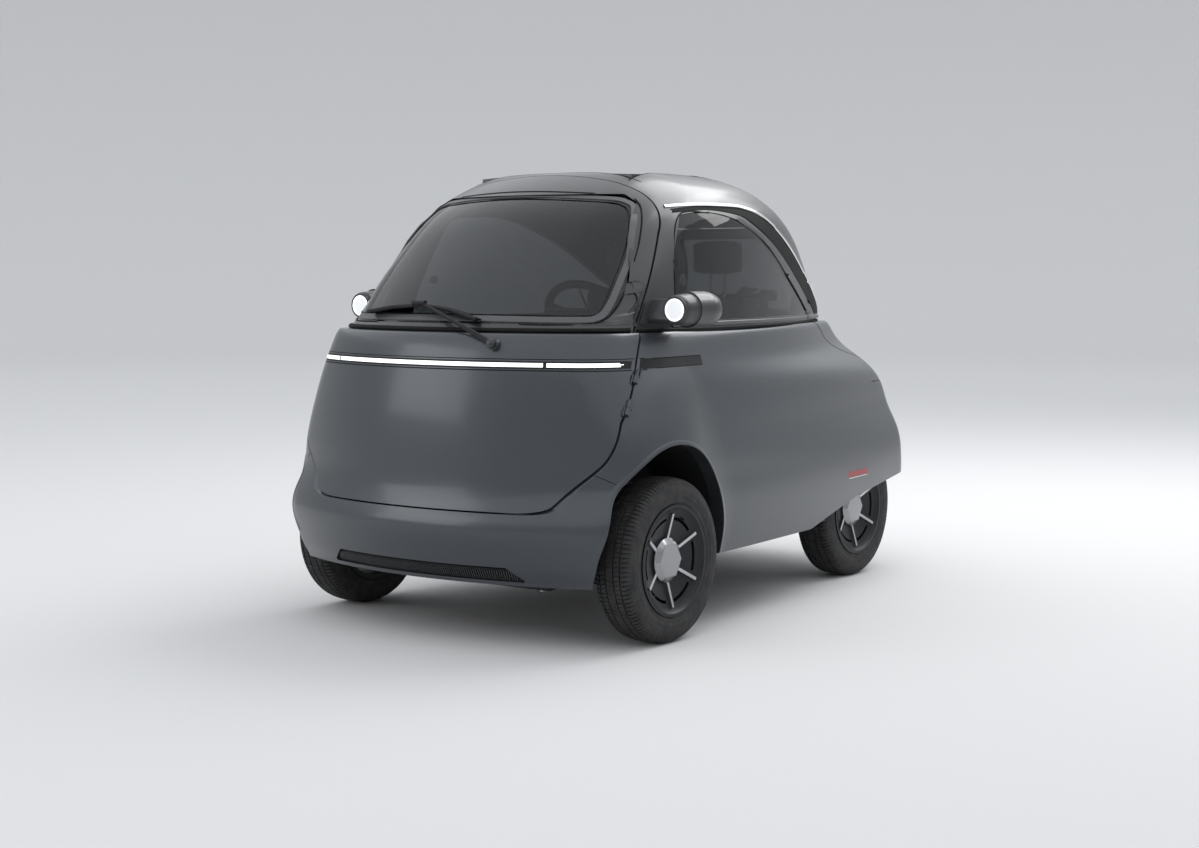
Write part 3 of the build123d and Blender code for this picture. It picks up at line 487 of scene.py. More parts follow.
def apply_modifiers(obj: bpy.types.Object) -> None:
    """Give an object the plain mesh that its modifiers make, and drop them."""
    mesh = bpy.data.meshes.new_from_object(obj.evaluated_get(bpy.context.evaluated_depsgraph_get()))
    obj.modifiers.clear()
    obj.data = mesh


def ride(obj: bpy.types.Object, body: "Body | str") -> None:
    """Put a piece on its body and report it."""
    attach(obj, body.value if isinstance(body, Body) else body)
    log.info("%s: %d faces", obj.name, len(obj.data.polygons))


def sharpen(bm: bmesh.types.BMesh, smooth: float) -> None:
    """Shade faces smooth and mark edges over the angle, in degrees, as sharp."""
    limit = radians(smooth)
    for face in bm.faces:
        face.smooth = True
    for edge in bm.edges:
        edge.smooth = len(edge.link_faces) == 2 and edge.calc_face_angle(pi) < limit


def from_bmesh(name: str, bm: bmesh.types.BMesh, finish: Finish, smooth: float = 30.0) -> bpy.types.Object:
    """Turn a bmesh into a dressed object.

    Args:
        name: the object's name.
        bm: the mesh, which is freed.
        finish: its finish.
        smooth: edges under this angle in degrees are shaded smooth.

    Returns:
        The new object.
    """
    sharpen(bm, smooth)
    obj = bare_object(name, bm)
    dress(obj, finish)
    return obj


def piece(name: str, body: "Body | str", bm: bmesh.types.BMesh, finish: Finish,
        smooth: float = 30.0) -> bpy.types.Object:
    """A finished piece riding on a body.

    Args:
        name: its name.
        body: the CAD body.
        bm: its mesh, which is freed.
        finish: its finish.
        smooth: smoothing angle in degrees.

    Returns:
        The piece.
    """
    bmesh.ops.remove_doubles(bm, verts=bm.verts, dist=SAME_POINT)
    bmesh.ops.recalc_face_normals(bm, faces=bm.faces)
    obj = from_bmesh(name, bm, finish, smooth)
    ride(obj, body)
    return obj


@contextmanager
def shaping(name: str, body: "Body | str", finish: Finish, smooth: float = 30.0,
        mirrored: bool = False) -> Iterator[bmesh.types.BMesh]:
    """Hand out an empty mesh, and make what is added to it a piece.

    Args:
        name: the piece's name.
        body: the CAD body.
        finish: its finish.
        smooth: smoothing angle in degrees.
        mirrored: repeat it on the other side of the car.

    Yields:
        The mesh to add to.
    """
    bm = bmesh.new()
    yield bm
    if mirrored:
        both_sides(bm)
    piece(name, body, bm, finish, smooth)


def merged_copy(node: str) -> bmesh.types.BMesh:
    """A CAD node's mesh with its loose triangles joined."""
    bm = bmesh.new()
    bm.from_mesh(frame["nodes"][node].data)
    bmesh.ops.remove_doubles(bm, verts=bm.verts, dist=CAD_MERGE)
    bmesh.ops.dissolve_degenerate(bm, edges=bm.edges, dist=SAME_POINT)
    return bm


def skin_of(node: str, finish: Finish, smooth: float = 30.0,
        split: "Callable[[bmesh.types.BMFace], int] | None" = None,
        more: Sequence[Finish] = ()) -> bpy.types.Object:
    """A merged, smoothly shaded copy of a CAD node that stands for it, on the node's own body.

    Args:
        node: the CAD node.
        finish: its finish.
        smooth: smoothing angle in degrees.
        split: gives a face's material index.
        more: finishes for the indices after nought.

    Returns:
        The copy.
    """
    bm = merged_copy(node)
    if split:
        for face in bm.faces:
            face.material_index = split(face)
    obj = from_bmesh(node + "_skin", bm, finish, smooth)
    for extra in more:
        obj.data.materials.append(extra.material())
    ride(obj, str(frame["nodes"][node]["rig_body"]))
    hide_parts(node)
    return obj


def mm(*values: float) -> Vector:
    """Millimetres to a vector in metres."""
    return Vector(values) * 0.001


def spaced(a: float, b: float, steps: int) -> list[float]:
    """Even numbers from a to b, both ends in."""
    return [a + (b - a) * i / steps for i in range(steps + 1)]


def add_grid(bm: bmesh.types.BMesh, rows: Sequence[Sequence[Vector]], loop: bool = False, rings: bool = True,
             caps: bool = True) -> None:
    """Quads between rows of points.

    Args:
        bm: the mesh to add to.
        rows: rows with equal numbers of points.
        loop: join the last row to the first.
        rings: each row is a closed ring.
        caps: close the end rings.
    """
    verts = [[bm.verts.new(p) for p in row] for row in rows]
    pairs = list(zip(verts, verts[1:])) + ([(verts[-1], verts[0])] if loop else [])
    n = len(verts[0])
    for a, b in pairs:
        for i in range(n if rings else n - 1):
            j = (i + 1) % n
            bm.faces.new((a[i], a[j], b[j], b[i]))
    if rings and caps and not loop:
        bm.faces.new(list(reversed(verts[0])))
        bm.faces.new(verts[-1])


def add_box(bm: bmesh.types.BMesh, low: Point, high: Point, bevel: float = 0.0,
        turn: "Matrix | None" = None) -> None:
    """A box between two corners in millimetres.

    Args:
        bm: the mesh to add to.
        low: lowest corner.
        high: highest corner.
        bevel: rounding of its edges in millimetres.
        turn: a placement applied after the corners are read.
    """
    size = [(h - l) * 0.001 for l, h in zip(low, high)]
    mid = [(h + l) * 0.0005 for l, h in zip(low, high)]
    made = bmesh.ops.create_cube(bm, size=1.0, matrix=Matrix.Translation(mid) @ Matrix.Diagonal((*size, 1.0)))
    verts = made["verts"]
    if bevel:
        edges = list({e for v in verts for e in v.link_edges})
        out = bmesh.ops.bevel(bm, geom=edges, offset=bevel * 0.001, segments=2, profile=0.6, affect="EDGES")
        verts = list({v for f in out["faces"] for v in f.verts} | {v for v in verts if v.is_valid})
    if turn is not None:
        bmesh.ops.transform(bm, matrix=turn, verts=verts)


def add_lathe(bm: bmesh.types.BMesh, profile: Sequence[tuple[float, float]], place: Matrix, count: int = 48,
              closed: bool = False) -> None:
    """Turn an (along, radius) profile in millimetres about the placement's Z.

    Args:
        bm: the mesh to add to.
        profile: points along the axis; a radius of nought closes an end.
        place: placement matrix.
        count: steps round the axis.
        closed: the profile returns to its start.
    """
    rings = []
    for h, r in profile:
        if r <= 1e-6:
            rings.append([bm.verts.new(place @ mm(0, 0, h))])
        else:
            rings.append(
                [bm.verts.new(place @ mm(r * cos(2 * pi * i / count), r * sin(2 * pi * i / count), h))
                    for i in range(count)])
    pairs = list(zip(rings, rings[1:])) + ([(rings[-1], rings[0])] if closed else [])
    for a, b in pairs:
        for i in range(count):
            j = (i + 1) % count
            if len(a) == 1 and len(b) > 1:
                bm.faces.new((a[0], b[j], b[i]))
            elif len(b) == 1 and len(a) > 1:
                bm.faces.new((a[i], a[j], b[0]))
            elif len(a) > 1:
                bm.faces.new((a[i], a[j], b[j], b[i]))


def aim(place: Vector, along: "Vector | Point", up: "Vector | Point" = (0, 0, 1)) -> Matrix:
    """Placement whose Z points along a direction.

    Args:
        place: origin in metres.
        along: direction of local Z.
        up: rough direction of local Y.

    Returns:
        The matrix.
    """
    z = Vector(along).normalized()
    x = Vector(up).cross(z)
    x = x.normalized() if x.length > 1e-6 else Vector((1, 0, 0))
    y = z.cross(x)
    return Matrix.Translation(place) @ Matrix((x, y, z)).transposed().to_4x4()


def smooth_path(points: Sequence[Vector], step: float, closed: bool = False) -> list[Vector]:
    """Even points along a curve through the given ones.

    Args:
        points: control points in metres.
        step: spacing in metres.
        closed: join the end to the start.

    Returns:
        The new points.
    """
    n = len(points)
    fine: list[Vector] = []
    for i in range(n if closed else n - 1):
        if closed:
            p0, p1, p2, p3 = points[i - 1], points[i], points[(i + 1) % n], points[(i + 2) % n]
        else:
            p1, p2 = points[i], points[i + 1]
            p0 = points[i - 1] if i else p1 * 2 - p2
            p3 = points[i + 2] if i + 2 < n else p2 * 2 - p1
        for k in range(12):
            t = k / 12
            fine.append(0.5 * (2 * p1 + (p2 - p0) * t + (2 * p0 - 5 * p1 + 4 * p2 - p3) * t * t
                               + (3 * p1 - p0 - 3 * p2 + p3) * t ** 3))
    fine.append(points[0].copy() if closed else points[-1].copy())
    total = sum((b - a).length for a, b in zip(fine, fine[1:]))
    count = max(2, round(total / step))
    out, walked, target = [fine[0].copy()], 0.0, total / count
    for a, b in zip(fine, fine[1:]):
        d = (b - a).length
        while d > 0 and walked + d >= target - 1e-12 and len(out) < count + 1:
            out.append(a.lerp(b, (target - walked) / d))
            target += total / count
        walked += d
    if len(out) < count + 1:
        out.append(fine[-1].copy())
    return out[:-1] if closed else out


def add_tube(bm: bmesh.types.BMesh, path: Sequence[Vector], radius: float, sides: int = 10,
        closed: bool = False) -> None:
    """A round tube along a path.

    Args:
        bm: the mesh to add to.
        path: points in metres.
        radius: in metres.
        sides: faces round it.
        closed: the path is a loop.
    """
    n = len(path)
    rows, ref = [], None
    for i, p in enumerate(path):
        a = path[i - 1] if (i or closed) else p
        b = path[(i + 1) % n] if (i + 1 < n or closed) else p
        t = (b - a).normalized()
        if ref is None:
            ref = Vector((0, 0, 1)) if abs(t.z) < 0.9 else Vector((1, 0, 0))
        u = (ref - t * ref.dot(t)).normalized()
        ref = u
        v = t.cross(u)
        rows.append(
            [p + (u * cos(2 * pi * k / sides) + v * sin(2 * pi * k / sides)) * radius
                for k in range(sides)])
    add_grid(bm, rows, closed)


def rounded(points: Sequence[tuple[float, float]], radii: Sequence[float], inset: float = 0.0,
            steps: int = 8) -> list[tuple[float, float]]:
    """A closed polygon with round corners, moved inwards by inset.

    Args:
        points: corners in order.
        radii: a radius for each corner.
        inset: distance inwards; negative grows it.
        steps: points on each arc.

    Returns:
        The outline's points.
    """
    n = len(points)
    area = sum(a[0] * b[1] - b[0] * a[1] for a, b in zip(points, list(points[1:]) + [points[0]]))
    side = 1.0 if area > 0 else -1.0
    lines = []
    for i in range(n):
        a, b = Vector(points[i]), Vector(points[(i + 1) % n])
        d = (b - a).normalized()
        lines.append((a + Vector((-d.y, d.x)) * inset * side, d))
    corners = []
    for i in range(n):
        (p, d), (q, e) = lines[i - 1], lines[i]
        cross = d.x * e.y - d.y * e.x
        t = ((q.x - p.x) * e.y - (q.y - p.y) * e.x) / cross if abs(cross) > 1e-9 else 0.0
        corners.append(p + d * t)
    out: list[tuple[float, float]] = []
    for i, c in enumerate(corners):
        d, e = lines[i - 1][1], lines[i][1]
        turn = d.angle_signed(e) if d.angle(e) > 1e-6 else 0.0
        r = max(0.5, radii[i] - inset) if radii[i] else 0.0
        if not r or abs(turn) < 1e-3:
            out.append((c.x, c.y))
            continue
        cut = r * abs(sin(turn / 2) / cos(turn / 2))
        a, b = c - d * cut, c + e * cut
        for k in range(steps + 1):
            t = k / steps
            w = (1 - t) ** 2, 2 * t * (1 - t), t * t
            p = a * w[0] + c * w[1] + b * w[2]
            out.append((p.x, p.y))
    return out


class View(Enum):
    """The side that a flat path is drawn from, as the way its rays go."""

    LEFT = (-1, 0, 0)
    FRONT = (0, 1, 0)
    BACK = (0, -1, 0)
    TOP = (0, 0, -1)

    def start(self, u: float, v: float) -> Vector:
        """The point clear of the car that stands for (u, v), in millimetres, of a flat path."""
        if self is View.LEFT:
            return mm(1200, u, v)
        if self is View.TOP:
            return mm(u, v, 3000)
        return mm(u, -2000 if self is View.FRONT else 2000, v)


@dataclass
class Drape:
    """Lays paths on the CAD surface by casting rays at it."""

    nodes: tuple[str, ...]
    tree: BVHTree = field(init=False)

    def __post_init__(self) -> None:
        """Gather the nodes into one search tree."""
        verts: list[Vector] = []
        faces: list[tuple[int, ...]] = []
        for node in self.nodes:
            mesh = frame["nodes"][node].data
            base = len(verts)
            verts += [v.co.copy() for v in mesh.vertices]
            faces += [tuple(i + base for i in p.vertices) for p in mesh.polygons]
        self.tree = BVHTree.FromPolygons(verts, faces)

    def lay(self, points: Sequence[Vector], way: Point, jump: float = SEAM_DEPTH,
            even: int = 0) -> list[Laid]:
        """Points and outward normals on the surface.

        Args:
            points: start points in metres, outside the car.
            way: direction of the rays.
            jump: a hit this much deeper than its neighbours fell into a seam.
            even: average the depth over this many points each way round a loop.

        Returns:
            (point, normal) pairs, seams bridged.
        """
        ray = Vector(way).normalized()
        found: list[Laid | None] = []
        for p in points:
            spot, normal, _, _ = self.tree.ray_cast(p, ray)
            if spot is None:
                found.append(None)
                continue
            found.append((spot, normal if normal.dot(ray) < 0 else -normal))
        depth = [f[0].dot(ray) if f else None for f in found]
        for i, d in enumerate(depth):
            near = [x for x in depth[max(0, i - 3):i + 4] if x is not None]
            if d is None or (near and d > min(near) + jump and d > sorted(near)[len(near) // 2] + jump):
                found[i] = None
        known = [i for i, f in enumerate(found) if f]
        out: list[Laid] = []
        for i, f in enumerate(found):
            if f:
                out.append(f)
                continue
            a = max((k for k in known if k < i), default=known[0])
            b = min((k for k in known if k > i), default=known[-1])
            t = 0.0 if a == b else (i - a) / (b - a)
            fa, fb = found[a], found[b]
            out.append((fa[0].lerp(fb[0], t), fa[1].lerp(fb[1], t).normalized()))
        wide = range(-even, even + 1)
        if even:
            level = [p.dot(ray) for p, _ in out]
            out = [(p + ray * (sum(level[(i + k) % len(out)] for k in wide) / len(wide) - level[i]), n)
                   for i, (p, n) in enumerate(out)]
        for _ in range(2):
            near = [[n for _, n in out[max(0, i - 2):i + 3]] for i in range(len(out))]
            out = [(p, sum(normals, Vector()).normalized()) for (p, _), normals in zip(out, near)]
        return out

    def trace(self, view: View, points: Sequence[Flat], step: float = 0.0, closed: bool = False,
            jump: float = SEAM_DEPTH) -> list[Laid]:
        """Lay a flat path on the surface.

        Args:
            view: the side it is drawn from.
            points: its points in millimetres.
            step: spacing in metres along a curve through them; nought keeps them as they are.
            closed: the path is a loop.
            jump: as for lay.

        Returns:
            (point, normal) pairs.
        """
        path = [view.start(u, v) for u, v in points]
        if step:
            path = smooth_path(path, step, closed)
        return self.lay(path, view.value, jump)

    @staticmethod
    def fair(row: list[Laid], way: Point) -> list[Laid]:
        """Lift the points of a short row that fell into a gap on to the curve of the rest.

        Args:
            row: points with normals across a nearly circular surface.
            way: direction of the rays.

        Returns:
            The row with depths from the best parabola through any three of its points.
        """
        ray, n = Vector(way).normalized(), len(row)
        depth = [p.dot(ray) for p, _ in row]
        best, fit = 1e9, depth
        for i in range(n):
            for j in range(i + 1, n):
                for k in range(j + 1, n):
                    line = [
                        depth[i] * (t - j) * (t - k) / ((i - j) * (i - k)) + depth[j] * (t - i) * (t - k)
                        / ((j - i) * (j - k)) + depth[k] * (t - i) * (t - j) / ((k - i) * (k - j))
                        for t in range(n)]
                    miss = sum(min(abs(a - d), 0.004) for a, d in zip(line, depth))
                    if miss < best:
                        best, fit = miss, line
        return [(p + ray * (f - d), q) for (p, q), f, d in zip(row, fit, depth)]


SHELL = ("body_left", "body_right", "roof_panel", "front_bumper", "rear_bumper", "front_door",
    "windscreen", "window_frames", "side_windows", "rear_hatch", "rear_window", "sunroof",
    "front_light_bar", "side_strips")


def add_ribbon(bm: bmesh.types.BMesh, laid: Sequence[Laid], section: Sequence[Flat], closed: bool = False,
        widths: "Callable[[float], float] | None" = None) -> None:
    """Sweep a section along a draped path.

    Args:
        bm: the mesh to add to.
        laid: points with normals.
        section: (across, out) points in millimetres, a closed ring.
        closed: the path is a loop.
        widths: scales the section's width by the share of the way along.
    """
    n = len(laid)
    rows = []
    for i, (p, out) in enumerate(laid):
        a = laid[i - 1][0] if (i or closed) else p
        b = laid[(i + 1) % n][0] if (i + 1 < n or closed) else p
        t = (b - a).normalized()
        side = t.cross(out).normalized()
        up = side.cross(t).normalized()
        k = widths(i / max(1, n - 1)) if widths else 1.0
        rows.append([p + side * (u * k * 0.001) + up * (v * 0.001) for u, v in section])
    add_grid(bm, rows, closed)


def strip(width: float, height: float, sink: float = 1.0, edge: float = 0.8) -> list[Flat]:
    """Section of a flat moulding with eased edges, in millimetres."""
    h, e = width / 2, min(edge, height * 0.6, width * 0.3)
    return [(-h, -sink), (h, -sink), (h, height - e), (h - e, height), (-h + e, height), (-h, height - e)]


def both_sides(bm: bmesh.types.BMesh) -> None:
    """Add the mirror image of everything across the car's middle plane."""
    made = bmesh.ops.duplicate(bm, geom=bm.verts[:] + bm.edges[:] + bm.faces[:])["geom"]
    verts = [g for g in made if isinstance(g, bmesh.types.BMVert)]
    for v in verts:
        v.co.x = -v.co.x
    bmesh.ops.reverse_faces(bm, faces=[g for g in made if isinstance(g, bmesh.types.BMFace)])


# ------------------------------------------------------------ Geometry Nodes
class Repeater:
    """Builds and applies node trees that repeat a shape."""

    @staticmethod
    def bake(obj: bpy.types.Object, tree: bpy.types.NodeTree, **values: object) -> None:
        """Run a tree on an object once and keep the plain mesh.

        Args:
            obj: the object, whose mesh is the tree's input.
            tree: the geometry node tree.
            values: the tree's named inputs, underscores for spaces.
        """
        mod = obj.modifiers.new("repeat", "NODES")
        mod.node_group = tree
        for item in tree.interface.items_tree:
            key = item.name.replace(" ", "_")
            if item.item_type == "SOCKET" and item.in_out == "INPUT" and key in values:
                mod[item.identifier] = values[key]
        apply_modifiers(obj)

    @staticmethod
    def start(name: str, sockets: Sequence[tuple[str, str, object]]) -> tuple[
            bpy.types.NodeTree, bpy.types.Node, bpy.types.Node]:
        """A new tree with its interface.

        Args:
            name: the tree's name.
            sockets: (name, socket type, default) of each input after the geometry.

        Returns:
            The tree, its input node and its output node.
        """
        tree = bpy.data.node_groups.new(name, "GeometryNodeTree")
        tree.interface.new_socket("Geometry", in_out="INPUT", socket_type="NodeSocketGeometry")
        for label, kind, default in sockets:
            item = tree.interface.new_socket(label, in_out="INPUT", socket_type=kind)
            if default is not None:
                item.default_value = default
        tree.interface.new_socket("Geometry", in_out="OUTPUT", socket_type="NodeSocketGeometry")
        return tree, tree.nodes.new("NodeGroupInput"), tree.nodes.new("NodeGroupOutput")

    @classmethod
    def around(cls) -> bpy.types.NodeTree:
        """Tree that turns its input geometry round an axis along X, Count times."""
        found = bpy.data.node_groups.get("repeat_around")
        if found:
            return found
        tree, given, out = cls.start("repeat_around",
            (("Count", "NodeSocketInt", 12), ("Centre", "NodeSocketVector", None),
                ("Unevenness", "NodeSocketFloat", 0.0), ("Seed", "NodeSocketInt", 7),
                ("Material", "NodeSocketMaterial", None)))
        add, link = tree.nodes.new, tree.links.new
        points = add("GeometryNodePoints")
        link(given.outputs["Count"], points.inputs["Count"])
        link(given.outputs["Centre"], points.inputs["Position"])
        index = add("GeometryNodeInputIndex")
        wobble = add("FunctionNodeRandomValue")
        wobble.data_type = "FLOAT"
        wobble.inputs[2].default_value, wobble.inputs[3].default_value = -0.5, 0.5
        link(given.outputs["Seed"], wobble.inputs["Seed"])
        value = wobble.outputs[1]
        for kind, other in (("MULTIPLY", given.outputs["Unevenness"]), ("ADD", index.outputs[0]),
                ("DIVIDE", given.outputs["Count"]), ("MULTIPLY", 2 * pi)):
            sum_node = add("ShaderNodeMath")
            sum_node.operation = kind
            link(value, sum_node.inputs[0])
            if isinstance(other, float):
                sum_node.inputs[1].default_value = other
            else:
                link(other, sum_node.inputs[1])
            value = sum_node.outputs[0]
        turn = add("ShaderNodeCombineXYZ")
        link(value, turn.inputs["X"])
        rotate = add("FunctionNodeEulerToRotation")
        link(turn.outputs[0], rotate.inputs[0])
        inst = add("GeometryNodeInstanceOnPoints")
        link(points.outputs[0], inst.inputs["Points"])
        link(given.outputs["Geometry"], inst.inputs["Instance"])
        link(rotate.outputs[0], inst.inputs["Rotation"])
        cls.end(tree, inst.outputs[0], given, out)
        return tree

    @classmethod
    def along(cls) -> bpy.types.NodeTree:
        """Tree that sets small bars along the input edges, standing along their "out" attribute."""
        found = bpy.data.node_groups.get("repeat_along")
        if found:
            return found
        tree, given, out = cls.start("repeat_along",
            (("Count", "NodeSocketInt", 20), ("Size", "NodeSocketVector", None),
                ("Material", "NodeSocketMaterial", None)))
        add, link = tree.nodes.new, tree.links.new
        curve = add("GeometryNodeMeshToCurve")
        link(given.outputs["Geometry"], curve.inputs["Mesh"])
        spread = add("GeometryNodeResampleCurve")
        link(curve.outputs[0], spread.inputs["Curve"])
        link(given.outputs["Count"], spread.inputs["Count"])
        bar = add("GeometryNodeMeshCube")
        link(given.outputs["Size"], bar.inputs["Size"])
        normal = add("GeometryNodeInputNamedAttribute")
        normal.data_type = "FLOAT_VECTOR"
        normal.inputs["Name"].default_value = "out"
        stand = add("FunctionNodeAlignRotationToVector")
        stand.axis = "Z"
        link(normal.outputs[0], stand.inputs["Vector"])
        tangent = add("GeometryNodeInputTangent")
        follow = add("FunctionNodeAlignRotationToVector")
        follow.axis = "X"
        follow.pivot_axis = "Z"
        link(stand.outputs[0], follow.inputs["Rotation"])
        link(tangent.outputs[0], follow.inputs["Vector"])
        inst = add("GeometryNodeInstanceOnPoints")
        link(spread.outputs[0], inst.inputs["Points"])
        link(bar.outputs["Mesh"], inst.inputs["Instance"])
        link(follow.outputs[0], inst.inputs["Rotation"])
        cls.end(tree, inst.outputs[0], given, out)
        return tree

    @staticmethod
    def end(tree: bpy.types.NodeTree, made: bpy.types.NodeSocket, given: bpy.types.Node,
            out: bpy.types.Node) -> None:
        """Realize the instances and give them the material."""
        real = tree.nodes.new("GeometryNodeRealizeInstances")
        paint = tree.nodes.new("GeometryNodeSetMaterial")
        tree.links.new(made, real.inputs[0])
        tree.links.new(real.outputs[0], paint.inputs[0])
        tree.links.new(given.outputs["Material"], paint.inputs["Material"])
        tree.links.new(paint.outputs[0], out.inputs[0])

    @classmethod
    def row(cls, name: str, body: Body, laid: Sequence[Laid], count: int, size: Point,
            finish: Finish) -> None:
        """A row of small bars on a draped path.

        Args:
            name: the piece's name.
            body: the CAD body it rides on.
            laid: points with normals.
            count: how many bars.
            size: along, across and out, in millimetres.
            finish: their finish.
        """
        mesh = bpy.data.meshes.new(name)
        mesh.from_pydata([p for p, _ in laid], [(i, i + 1) for i in range(len(laid) - 1)], [])
        layer = mesh.attributes.new("out", "FLOAT_VECTOR", "POINT")
        for slot, (_, normal) in zip(layer.data, laid):
            slot.vector = normal
        obj = new_object(name, mesh)
        cls.bake(obj, cls.along(), Count=count, Size=tuple(v * 0.001 for v in size),
            Material=finish.material())
        ride(obj, body)


# ------------------------------------------------------------------- skins
@dataclass
class Skins:
    """CAD nodes that keep their shape and get a smooth skin and a finish."""

    paint: tuple[str, ...] = ("body_left", "body_right", "roof_panel", "sunroof", "front_bumper",
        "rear_bumper", "front_door", "rear_hatch")
    others: dict[str, Finish] = field(
        default_factory=lambda: {"windscreen": SCREEN_GLASS, "side_windows": SIDE_GLASS,
            "rear_window": SIDE_GLASS, "window_frames": BODY_PAINT, "front_grille": BLACK_PLASTIC,
            "wheel_liners": BLACK_PLASTIC, "floor_pan": CHASSIS_BLACK, "headlamps": LAMP_LENS,
            "mirror_glasses": MIRROR, "plate_holder": BLACK_PLASTIC, "side_strips": BLACK_PLASTIC,
            "front_light_bar": BLACK_PLASTIC, "rear_light_bar": LAMP_RED, "rear_reflectors": REFLEX_RED,
            "wiper": BLACK_PLASTIC, "dash_beam": TRIM_GREY, "steering_wheel": BLACK_PLASTIC,
            "steering_column": TRIM_GREY, "pedals": STEEL, "seat_base": TRIM_GREY,
            "seat_frame": TRIM_GREY, "battery_pack": CAST_ALLOY, "drive_motor": CAST_ALLOY,
            "rear_axle": CHASSIS_BLACK, "rear_dampers": STEEL, "front_struts": STEEL,
            "front_subframe": CHASSIS_BLACK, "steering_rack": CAST_ALLOY,
            "front_wishbones": CHASSIS_BLACK, "knuckle_left": CAST_ALLOY, "knuckle_right": CAST_ALLOY})

    @staticmethod
    def lined(face: bmesh.types.BMFace) -> int:
        """Index 1 for faces that look into the cabin."""
        c, n = face.calc_center_median(), face.normal
        inward = Vector((-c.x, -0.1 - c.y, 0.85 - c.z))
        return int(inward.normalized().dot(n) > 0.35)

    @staticmethod
    def cup(face: bmesh.types.BMFace) -> int:
        """Index 1 for the body-coloured cup of a lamp pod."""
        c = face.calc_center_median()
        return int(c.y > -0.6775 and abs(c.x) > 0.625)

    def build(self) -> None:
        """Make every skin."""
        for node in self.paint:
            lining = HEADLINING if node in ("roof_panel", "sunroof") else TRIM_GREY
            skin_of(node, BODY_PAINT, 24.0, self.lined, (lining,))
        for node, finish in self.others.items():
            skin_of(node, finish)
        skin_of("lamp_pods", DARK_TRIM, 30.0, self.cup, (BODY_PAINT,))
        for key in ("fl", "fr", "rl", "rr"):
            skin_of("rim_" + key, WHEEL_DARK)
            skin_of("hub_cap_" + key, SATIN_SILVER, 20.0)


